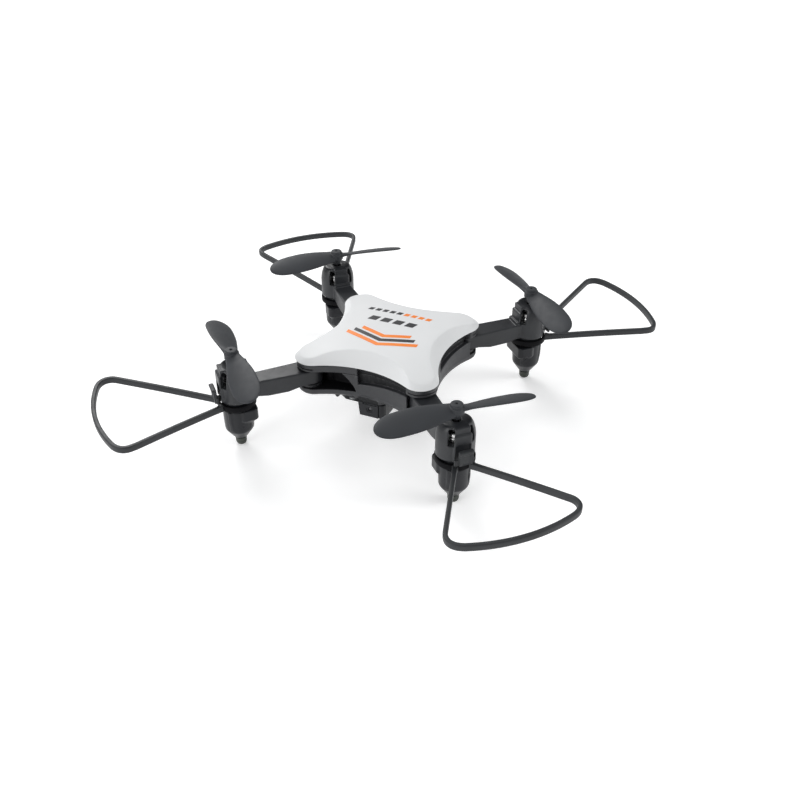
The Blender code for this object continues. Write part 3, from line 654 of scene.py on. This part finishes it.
def fittings_field(x, y, z):
    """What hangs under the tub's front edge: the light's step and the camera's mount."""
    step = brick(x, y, z, (-5.3, -15.45, 13.1), (2.85, 1.3, 1.0), 0.12)
    step = soft_max(step, (-8.1 - 1.2 * (z - TUB_LOW) - x) / 1.56, 0.1)
    outline = [(-2.2, -17.5), (4.1, -17.5), (4.8, -17.3), (5.4, -16.8), (5.7, -16.1),
               (5.9, -12.0), (-2.2, -12.0)]
    return step, plate(outline_distance(x, y, outline), z, 13.2, 14.6, 0.15)


def shell_field(x, y, z):
    """Dark tub with battery box, pivot pads, bay walls and screw bosses."""
    edge = star_distance(x, y) + 0.5
    floor = plate(edge, z, TUB_LOW, TUB_FLOOR, 0.3)
    floor = soft_max(floor, (edge + 14.45 - z) / DIAGONAL, 0.3)
    core = plate(rectangle(x, y, 14.0, 14.0, 4.0), z, 14.0, 21.3, 0.3)
    solid = soft_min(floor, core, 0.5)
    pin, boss = PIVOT_REACH / DIAGONAL, SCREW_REACH / DIAGONAL
    wide, deep = np.abs(x), np.abs(y)
    from_pin = np.hypot(wide - pin, deep - pin)
    from_boss = np.hypot(wide - boss, deep - boss)
    solid = soft_min(solid, plate(from_pin - 3.3, z, 15.0, 16.6, 0.15), 0.2)
    solid = soft_min(solid, plate(from_boss - 1.7, z, 15.0, 21.3, 0.15), 0.2)
    for _ in range(4):
        solid = soft_min(solid, band_field(x, y, z), 0.25)
        x, y = y, -x
    step, mount = fittings_field(x, y, z)
    solid = soft_min(soft_min(solid, step, 0.15), mount, 0.2)
    box = np.maximum(rectangle(x, y - DOOR_MIDDLE, 10.0, 11.1, 1.2), z - 20.5)
    solid = without(solid, box, 0.25)
    groove = np.maximum(np.abs(edge + 2.6) - 0.22, z - 13.72)
    from_button = np.hypot(x - BUTTON_AT[0], y - BUTTON_AT[1])
    solid = without(solid, np.maximum(from_button - 1.8, z - 15.4), 0.25)
    solid = without(solid, np.maximum(groove, 2.5 - from_button), 0.15)
    solid = without(solid, light_field(x, y, z) - 0.08, 0.05)
    solid = without(solid, np.maximum(from_pin - PIN_HOLE, slab(z, 14.6, 17.5)), 0.15)
    solid = without(solid, np.maximum(from_boss - 1.7, z - 14.9), 0.2)
    solid = without(solid, from_boss - SCREW_HOLE, 0.15)
    latch = np.maximum(np.abs(x + 9.3) - 1.2 - 0.8 * (z - TUB_LOW), slab(z, 12.2, 14.5))
    solid = soft_min(solid, np.maximum(latch, slab(y, -16.9, -16.2)), 0.1)
    for place in (-7.5, -4.5, -1.5, 1.5, 4.5, 7.5):
        vent = rectangle(x - place, y - 14.9, 0.45, 1.15, 0.4)
        solid = without(solid, np.maximum(vent, z - 14.1), 0.2)
    return solid


def door_field(x, y, z):
    """Battery door with a ribbed grip and a finger notch."""
    y = y - DOOR_MIDDLE
    solid = plate(rectangle(x, y, 9.7, 10.8, 1.2), z, TUB_LOW, 14.5, 0.25)
    pitch = 1.6
    ribs = np.abs((y + 6.5 + pitch / 2) % pitch - pitch / 2) - 0.28
    grip = np.maximum(np.maximum(ribs, rectangle(x, y + 6.3, 6.0, 2.9, 0.6)), z - 13.75)
    solid = without(solid, grip, 0.25)
    notch = (np.sqrt((x / 3.2)**2 + ((y - 9.0) / 1.25)**2 + ((z - 13.3) / 0.65)**2) - 1) * 0.65
    solid = without(solid, notch, 0.15)
    border = np.maximum(np.abs(rectangle(x, y, 8.4, 9.5, 1.0)) - 0.15, z - 13.6)
    return without(solid, np.maximum(border, -(y + 2.6)), 0.1)


def camera_field(x, y, z):
    """Camera block: lens recess with a stepped mouth, and a seam beside it."""
    outline = [(-2.3, -17.6), (4.2, -17.6), (4.9, -17.4), (5.5, -16.9), (5.85, -16.1),
               (6.1, -10.9), (-2.3, -10.9)]
    flat = np.maximum(outline_distance(x, y, outline), 0.115 * (CAMERA_TOP - z) - 2.3 - x)
    solid = plate(flat, z, CAMERA_LOW, CAMERA_TOP, 0.3)
    across, rise = x - CAMERA_AT[0], z - CAMERA_AT[2]
    reach = np.hypot(across, rise)
    deep = y - CAMERA_AT[1]
    solid = without(solid, brick(x, y, z, (1.4, -13.9, 11.9), (2.7, 2.1, 2.2), 0.2), 0.1)
    solid = without(solid, np.maximum(reach - 0.62, deep - 2.2), 0.2)
    solid = without(solid, np.maximum(reach - 1.05, deep - 0.25), 0.12)
    top = np.maximum(rectangle(across, rise - 1.75, 2.2, 0.22, 0.15), deep - 0.4)
    solid = without(solid, top, 0.12)
    seam = np.maximum(np.abs(x - 4.15) - 0.16, deep - 0.5)
    return without(solid, seam, 0.1)


def screw_field(x, y, z):
    """Pan-head screw, its head down, with a cross recess."""
    reach = np.hypot(x, y)
    head = np.maximum(reach - 1.4, slab(z, 13.7, 14.6))
    head = soft_max(head, np.sqrt(reach**2 + (z - 15.9)**2) - 2.25, 0.15)
    shank = np.maximum(reach - 0.6 - 0.06 * np.sin(z * 10.0), slab(z, 14.2, 22.8))
    solid = soft_min(head, shank, 0.15)
    slot = np.minimum(rectangle(x, y, 0.85, 0.17, 0.05), rectangle(x, y, 0.17, 0.85, 0.05))
    return without(solid, np.maximum(slot, z - 14.25), 0.06)


def make_shells():
    """Frame rim and tub, each with painted shade on its inside and recessed faces."""
    # painted shade: the second finish is the black for inside faces, the third the darker charcoal
    # for recesses
    finish = ("body_charcoal", "painted_shade_black", "painted_shade_charcoal")
    rim = skin("frame_rim", frame_field, (-22, -22, RIM_LOW), (22, 22, RIM_TOP), 0.2, 0.3)
    settle(painted_shade_faces(rim, 15.0, 20.0), finish, "body_charcoal", "body", "upper_frame")
    tub = skin("shell_tub", shell_field, (-22, -22, 12.0), (22, 22, 21.7), 0.22, 0.3)
    settle(painted_shade_faces(tub, 15.0, 15.7, True), finish, "body_charcoal", "body", "lower_shell")


def make_camera_block():
    """Camera block, and its lens turned to face the front."""
    block = skin("camera_block", camera_field, (-2.4, -17.7, CAMERA_LOW),
                 (6.2, -10.8, CAMERA_TOP), 0.12, 0.4)
    settle(block, "cup_charcoal", "body_charcoal", "body", "camera_housing")
    lens = turned("lens", [(0, -1.9), (0.9, -1.9), (1.2, -1.6), (1.2, -0.9), (0.78, -0.75),
                           (0.72, -0.6), (0.6, -0.6), (0.5, -0.42), (0.25, -0.34), (0, -0.32)],
                  0.08)
    lens.data.transform(Matrix.Translation(Vector(CAMERA_AT) * MM)
                        @ Matrix.Rotation(math.pi / 2, 4, "X"))
    settle(lens, "lens_glass", "lens_glass", "body", "camera_lens")


def make_screws():
    """Four body screws, each stopped at its own angle."""
    screw = skin("screw", screw_field, (-1.5, -1.5, 13.6), (1.5, 1.5, 22.9), 0.1, 0.35)
    for corner, turn in CORNERS.items():
        copy = placed(screw, "screw_" + corner, turn, SCREW_REACH, SCREW_STOP + turn)
        settle(copy, "pin_steel", "pin_steel", "body", "body_screw_" + corner)
    bpy.data.objects.remove(screw)


def make_body():
    """Everything that moves with the body, and the button."""
    settle(make_cover(), "shell_white", "shell_white", "body", "top_cover")
    make_print()
    make_shells()
    settle(skin("battery_door", door_field, (-9.8, -9.2, TUB_LOW), (9.8, 12.6, 14.5), 0.16, 0.3),
           "body_charcoal", "body_charcoal", "body", "battery_cover")
    make_camera_block()
    settle(skin("light_lens", light_field, (-5.7, -17.1, 12.4), (-3.5, -14.9, 14.8), 0.08, 0.5),
           "light_clear", "light_clear", "body", "status_light")
    button = turned("button_cap", [(0, 12.95), (0.55, 12.9), (0.75, 12.72), (1.2, 12.7),
                                   (1.5, 13.0), (1.5, 14.4), (0, 14.4)], 0.18, 64, BUTTON_AT)
    settle(button, "button_grey", "button_grey", "button", "power_button")
    make_screws()


# ------------------------------------------------------------ arms and pods

POD_PROFILE = [(-6.0, 16.6), (4.35, 16.6), (4.6, 16.75), (4.7, 17.1), (4.7, 22.5),
               (4.6, 23.6), (4.4, 24.7), (4.15, 25.6), (3.85, 26.3), (3.6, 26.7),
               (3.3, 26.92), (3.0, POD_TOP), (-6.0, POD_TOP)]
CAP_PROFILE = [(-6.0, 2.8), (1.75, 2.8), (2.0, 2.95), (4.0, 5.9), (4.17, 6.3), (4.22, 7.0),
               (4.35, 13.0), (4.35, 16.3), (-6.0, 16.3)]
WINDOW_TURN = math.radians(39.0)  # of each pod window, away from the arm's line


def pod_field(out, y, z):
    """Upper half of the motor pod: a slightly oval crown with stepped blocks round it."""
    pod = outline_distance(np.hypot(out, y * 0.87), z, POD_PROFILE)
    pod = soft_min(pod, brick(out, y, z, (0.0, 0.0, 20.95), (4.85, 2.6, 4.25), 0.5), 0.2)
    pod = soft_min(pod, brick(out, y, z, (0.0, 0.0, 25.0), (4.25, 2.15, 1.97), 0.25), 0.15)
    return soft_min(pod, brick(out, y, z, (-2.9, 0.0, 21.5), (2.7, 2.7, 0.75), 0.3), 0.3)


def bar_field(x, y, z):
    """The arm's tapered bar, its underside stepped and ribbed."""
    share = np.clip(x / (LINK - 2.0), 0.0, 1.0)
    bar = np.hypot(np.minimum(x, 0.0), y) - (3.45 - 0.7 * share)
    low = BAR_LOW + 0.9 * np.clip((7.6 - x) / 4.0, 0.0, 1.0)
    low = low + 0.5 * np.clip((x - 13.5) / 3.0, 0.0, 1.0)
    bar = plate(np.maximum(bar, x - LINK + 2.0), z, low, BAR_TOP, 0.42)
    channel = np.maximum(rectangle(x - 11.2, y, 5.0, 1.7, 0.6), z - 17.2)
    for rib in (7.8, 14.2):
        channel = np.maximum(channel, 0.35 - np.abs(x - rib))
    return without(bar, channel, 0.2)


def arm_field(x, y, z):
    """Bar and pod in one moulding, with four windows round the motor."""
    out = x - LINK
    solid = soft_min(pod_field(out, y, z), bar_field(x, y, z), 0.45)
    notch = np.maximum(rectangle(out - 5.4, y, 1.1, 2.1, 0.3), z - 22.0)
    solid = without(solid, notch, 0.25)
    along, across = math.cos(WINDOW_TURN), math.sin(WINDOW_TURN)
    outward = along * np.abs(out) + across * np.abs(y)
    beside = along * np.abs(y) - across * np.abs(out)
    window = np.maximum(rectangle(beside, z - 23.95, 0.85, 2.35, 0.45), 2.0 - outward)
    solid = without(solid, window, 0.22)
    reach = np.hypot(out, y)
    bore = np.minimum(np.maximum(reach - MOTOR_BORE, z - 24.6), reach - 1.3)
    solid = without(solid, bore, 0.15)
    return without(solid, np.hypot(x, y) - PIN_HOLE, 0.15)


def cap_field(x, y, z):
    """Lower half of the pod: a cup with a conical end, and a shoulder towards the arm."""
    reach = np.hypot(x, y)
    cup = outline_distance(reach, z, CAP_PROFILE)
    low, top = 8.7, 13.7
    size = np.clip(0.72 + 0.28 * (z - low) / 1.7, 0.72, 1.0)
    flat = rectangle(x / size + 2.3, y / size, 2.7, 4.9, 1.5) * size
    shoulder = plate(flat, z, low, top, 0.3)
    rib = plate(rectangle(x, np.abs(y) - 3.1, 4.0, 0.35, 0.15), z, 6.8, top, 0.12)
    rib = soft_max(rib, reach - 4.55 + np.maximum(9.5 - z, 0.0) * 0.12, 0.1)
    solid = soft_min(soft_min(cup, shoulder, 0.3), rib, 0.25)
    lip = np.maximum(np.abs(reach - 4.4) - 0.2, slab(z, 13.35, 13.65))
    solid = without(solid, lip, 0.1)
    return without(solid, np.maximum(reach - MOTOR_BORE, 6.9 - z), 0.15)


def tab_field(x, y, z):
    """Upright tab on the collar, leaning out a little, with a flange across its foot and a
    shallow panel in its face."""
    lean = x - 0.3 * np.clip((z - 16.6) / 4.6, 0.0, 1.0)
    tab = brick(lean, y, z, (6.05, 0.15, 18.45), (0.5, 2.0, 2.75), 0.22)
    crown = brick(lean, y, z, (6.25, 0.15, 20.85), (0.62, 2.0, 0.4), 0.25)
    panel = brick(lean, y, z, (6.65, 0.15, 18.4), (0.25, 1.2, 1.5), 0.2)
    tab = without(soft_min(tab, crown, 0.25), panel, 0.12)
    flange = brick(x, y, z, (5.85, -0.2, 17.65), (0.3, 2.75, 0.95), 0.15)
    reach = np.hypot(x, y)
    clear_of_pod, clear_of_collar = 5.55, np.maximum(5.4 - reach, z - 16.7)
    solid = without(soft_min(tab, flange, 0.2), reach - clear_of_pod, 0.1)
    return without(solid, clear_of_collar, 0.1)


def guard_line():
    """Middle line of the bar: a strut, a rounded corner, the bowed outer side, and back."""
    root, corner = np.array([4.95, 2.25]), np.array([34.4, 18.9])
    bow, ease = 4.3, 5.0
    strut_steps, corner_steps, bow_steps = 22, 20, 18
    radius = (corner[1]**2 + bow**2) / (2 * bow)
    centre = corner[0] + bow - radius
    leave = corner - (corner - root) / np.linalg.norm(corner - root) * ease
    arrive_angle = math.asin(corner[1] / radius) - ease / radius
    arrive = np.array([centre + radius * math.cos(arrive_angle),
                       radius * math.sin(arrive_angle)])
    half = [root + (leave - root) * i / strut_steps for i in range(strut_steps + 1)]
    for i in range(1, corner_steps + 1):
        t = i / corner_steps
        half.append((1 - t)**2 * leave + 2 * t * (1 - t) * corner + t * t * arrive)
    for i in range(1, bow_steps + 1):
        angle = arrive_angle * (1 - i / bow_steps)
        half.append(np.array([centre + radius * math.cos(angle), radius * math.sin(angle)]))
    return half + [point * (1, -1) for point in half[-2::-1]]


def guard_bar():
    """Bar with softly rounded edges that thickens where it joins the collar, and rises
    towards its bow."""
    path = guard_line()
    low_height, climb, corner = 15.1, 4.3, 0.33
    rings = []
    for i, point in enumerate(path):
        along = path[min(i + 1, len(path) - 1)] - path[max(i - 1, 0)]
        along = along / np.linalg.norm(along)
        across = np.array([-along[1], along[0]])
        flare = max(0.0, 1.0 - (np.hypot(*point) - 5.3) / 2.2)
        half_wide, half_tall = 0.625 + 0.25 * flare**2, 0.92 + 0.15 * flare**2
        share = min(max((point[0] - 6.0) / 25.4, 0.0), 1.0)
        share += 0.03 * math.sin(math.pi * share)
        middle = low_height + climb * share
        ring = []
        for quarter, (side_u, side_v) in enumerate(((1, 1), (-1, 1), (-1, -1), (1, -1))):
            for j in range(5):
                angle = math.pi / 2 * (quarter + j / 4)
                u = side_u * (half_wide - corner) + corner * math.cos(angle)
                v = side_v * (half_tall - corner) + corner * math.sin(angle)
                ring.append((*(point + across * u), middle + v))
        rings.append(ring)
    return loft("bar", rings, 50)


def make_guard():
    """Bar and tab of the guard, and its collar in a darker finish."""
    tab = skin("tab", tab_field, (4.4, -3.2, 15.4), (7.3, 2.4, 21.3), 0.1, 0.35)
    steps = 72
    angle = np.arange(steps) * math.tau / steps
    section = eased([(4.65, 15.1), (4.65, 14.25), (5.5, 14.25), (5.5, 16.0), (4.65, 16.0),
                     (4.65, 15.1)], 0.3, 3)[:-1]
    rings = [np.stack([r * np.cos(angle), r * np.sin(angle), np.full(steps, h)], 1)
             for r, h in section]
    collar = loft("collar", rings, 60, closed=True)
    return merged("guard", guard_bar(), tab, collar, second=collar)


# ------------------------------------------------------------ rotor

def blade_ring(reach, sense):
    """Section of the blade at that reach: a thin cambered oval, pitched."""
    share = reach / BLADE_REACH
    broad = 3.9 + 4.0 * math.sin(min(share / 0.6, 1.0) * math.pi / 2)**1.15
    tip = math.sqrt(max(1.0 - max((share - 0.62) / 0.38, 0.0)**2.9, 0.0))
    width = max(broad * tip, 0.3)
    pitch = math.radians(24.0 - 7.0 * share) * sense
    thick = (0.95 - 0.5 * share) * (0.35 + 0.65 * min(width / 3.0, 1.0))
    thick *= 1.0 + 0.9 * max(0.0, 1.0 - (reach - 1.0) / 3.0)
    middle = BLADE_HEIGHT - 1.1 * share**2
    ring = []
    for j in range(32):
        angle = math.tau * j / 32
        y_share = 0.5 * math.cos(angle)
        full = 1.0 - (2 * y_share)**2
        y = y_share * width
        lift = 0.04 * width * full
        lift += math.copysign(thick * 0.5 * abs(math.sin(angle))**0.8, math.sin(angle))
        ring.append((reach, y * math.cos(pitch) - lift * math.sin(pitch),
                     middle + y * math.sin(pitch) + lift * math.cos(pitch)))
    return ring


def blade(sense):
    """Twisted paddle, its sections closer together towards the tip."""
    start, last = 1.0, 51
    rings = [blade_ring(start + (BLADE_REACH - 1.02) * (1 - (1 - i / last)**1.8), sense)
             for i in range(last + 1)]
    return loft("blade", rings, 60)


def make_propeller(sense):
    """Hub and two blades. Sense is 1 or -1, the way that the blades are pitched."""
    hub = turned("hub", [(0, 27.5), (1.1, 27.5), (1.25, 27.65), (1.3, 28.7), (1.45, 29.0),
                         (2.0, 29.1), (2.1, 29.3), (2.1, 31.0), (1.95, 31.2), (1.75, 31.25),
                         (1.72, 31.75), (1.5, 31.97), (0.5, 31.99), (0.38, 31.9), (0.3, 31.6),
                         (0.0, 31.55)], 0.1)
    first, second = blade(sense), blade(sense)
    second.data.transform(Matrix.Rotation(math.pi, 4, "Z"))
    return merged("propeller", hub, first, second)


# ------------------------------------------------------------ placing

def placed(pattern, name, turn, reach, spin=None):
    """Copy of the pattern at a distance from the middle along the diagonal."""
    copy = bpy.data.objects.new(name, pattern.data.copy())
    bpy.context.scene.collection.objects.link(copy)
    angle = math.radians(turn)
    shift = Matrix.Translation((reach * math.cos(angle) * MM, reach * math.sin(angle) * MM, 0.0))
    spin = turn if spin is None else spin
    copy.data.transform(shift @ Matrix.Rotation(math.radians(spin), 4, "Z"))
    return copy


def corner_patterns():
    """One of each corner piece, with its axis upright at the middle."""
    can = turned("can", [(0, 7.2), (2.6, 7.2), (2.9, 7.35), (3.0, 7.6), (3.0, 8.6),
                         (2.93, 8.7), (2.93, 8.9), (3.0, 9.0), (3.0, 22.6), (2.92, 22.75),
                         (2.92, 22.95), (3.0, 23.1), (3.0, 23.9), (2.75, 24.2), (1.0, 24.2),
                         (0.95, 24.45), (0.5, 24.45), (0, 24.45)], 0.08)
    nub = turned("nub", [(0, 0.0), (0.85, 0.0), (1.3, 0.2), (1.55, 0.75), (1.6, 1.3),
                         (1.52, 1.4), (1.52, 1.6), (1.63, 1.7), (1.65, 2.5), (0, 2.5)], 0.14)
    return {
        "arm": skin("arm", arm_field, (-3.5, -5.5, BAR_LOW), (LINK + 4.9, 5.5, POD_TOP), 0.165, 0.35),
        "cap": skin("cap", cap_field, (-5.1, -5.1, 2.7), (4.7, 5.1, 16.4), 0.15, 0.35),
        "guard": make_guard(),
        "can": can,
        "nub": nub,
        1: make_propeller(1),
        -1: make_propeller(-1),
    }


def make_corners():
    """Arm, pod, guard and propeller at each corner."""
    patterns = corner_patterns()
    for corner, turn in CORNERS.items():
        body = "arm_" + corner
        sense = 1 if corner in COUNTER_CLOCKWISE else -1
        settle(placed(patterns["arm"], "arm_moulding_" + corner, turn, PIVOT_REACH),
               "arm_charcoal", "body_charcoal", body, "arm_" + corner)
        settle(placed(patterns["cap"], "pod_cup_" + corner, turn, MOTOR_REACH),
               "cup_charcoal", "body_charcoal", body, "pod_cap_" + corner)
        settle(placed(patterns["can"], "motor_can_" + corner, turn, MOTOR_REACH),
               "motor_steel", "motor_steel", body, "motor_" + corner)
        settle(placed(patterns["nub"], "foot_nub_" + corner, turn, MOTOR_REACH),
               "foot_rubber", "foot_rubber", body, "foot_" + corner)
        settle(placed(patterns["guard"], "guard_loop_" + corner, turn, MOTOR_REACH),
               ("guard_charcoal", "collar_black"), "guard_charcoal", "guard_" + corner,
               "guard_" + corner)
        settle(placed(patterns[sense], "rotor_blades_" + corner, turn, MOTOR_REACH,
                      turn + PROP_STOP),
               "blade_charcoal", "blade_charcoal", "rotor_" + corner, "propeller_" + corner)
    for pattern in patterns.values():
        bpy.data.objects.remove(pattern)


def dress_nodes():
    """Inner parts that keep their CAD shape, with their edges broken."""
    broken = 0.00006  # metres
    kept = {"battery": "cell_wrap", "main_board": "board_green", "camera_board": "board_green"}
    for corner in CORNERS:
        kept["arm_pin_" + corner] = "pin_steel"
        kept["motor_shaft_" + corner] = "pin_steel"
    for name, finish in kept.items():
        dress(nodes[name], finish)
        edge = nodes[name].modifiers.new("edge", "BEVEL")
        edge.width = broken
        edge.segments = 2
        edge.limit_method = "ANGLE"


# ------------------------------------------------------------ studio, in metres

MIDDLE_HEIGHT = 0.015
FLOOR_HALF = 3.0
EYE = (0.0974, -0.22275, 0.1726)
LOOKS_AT = (0.00974, -0.0149, 0.0150)
AMBIENT = 0.3


def aimed(thing, place, aim):
    """Puts a light or a camera in the scene, looking at a point."""
    bpy.context.scene.collection.objects.link(thing)
    thing.location = place
    toward = Vector(aim) - Vector(place)
    thing.rotation_euler = toward.to_track_quat("-Z", "Y").to_euler()


def area(name, place, size, watts):
    """Soft light that looks at the middle of the drone."""
    light = bpy.data.lights.new(name, "AREA")
    light.shape = "RECTANGLE"
    light.size, light.size_y = size
    light.energy = watts
    aimed(bpy.data.objects.new(name, light), place, (0.0, 0.0, MIDDLE_HEIGHT))


def around(azimuth, elevation, distance):
    """Point at that distance from the middle of the drone."""
    a, e = math.radians(azimuth), math.radians(elevation)
    return (distance * math.cos(a) * math.cos(e), distance * math.sin(a) * math.cos(e),
            MIDDLE_HEIGHT + distance * math.sin(e))


def make_floor():
    """Pale paper that glows a little, so that it stays white up to the picture's edges."""
    half = FLOOR_HALF / MM
    floor = mesh_of("floor", [(-half, -half, 0), (half, -half, 0), (half, half, 0),
                              (-half, half, 0)], [(0, 1, 2, 3)])
    floor.location.z = -0.00002
    material, tree, shader = graph_of("floor_paper")
    tree.links.new(blended(tree, ranged(tree, noise(tree, 4.0), 0.0, 1.0),
                           (0.93, 0.93, 0.93), (0.95, 0.95, 0.95)), shader.inputs["Base Color"])
    shader.inputs["Roughness"].default_value = 0.9
    shader.inputs["Specular IOR Level"].default_value = 0.0
    shader.inputs["Emission Color"].default_value = (1.0, 1.0, 1.0, 1.0)
    shader.inputs["Emission Strength"].default_value = AMBIENT
    floor.data.materials.append(material)


def make_lights():
    """Even surroundings and five soft lights."""
    world = bpy.data.worlds.new("studio")
    bpy.context.scene.world = world
    world.use_nodes = True
    sky = world.node_tree.nodes["Background"]
    sky.inputs["Color"].default_value = (0.97, 0.985, 1.0, 1.0)
    sky.inputs["Strength"].default_value = AMBIENT
    area("overhead", (0.02, -0.02, 0.75), (0.7, 0.7), 0.8)
    area("back_left", around(137.0, 38.0, 1.1), (0.44, 0.6), 6.0)
    area("left", around(-160.0, 30.0, 1.0), (0.5, 0.5), 1.6)
    area("front_left", around(-115.0, 18.0, 1.0), (0.58, 0.33), 4.2)
    area("right_rim", around(20.0, 25.0, 1.0), (0.33, 0.58), 4.2)


def make_camera():
    """View from the front, a little to the right, looking down."""
    camera = bpy.data.objects.new("camera", bpy.data.cameras.new("camera"))
    aimed(camera, EYE, LOOKS_AT)
    camera.data.lens = 43.49
    camera.data.sensor_width = 36.0
    camera.data.clip_start = 0.01
    bpy.context.scene.camera = camera
    bpy.context.scene.view_settings.view_transform = "Standard"


make_body()
make_corners()
dress_nodes()
make_floor()
make_lights()
make_camera()
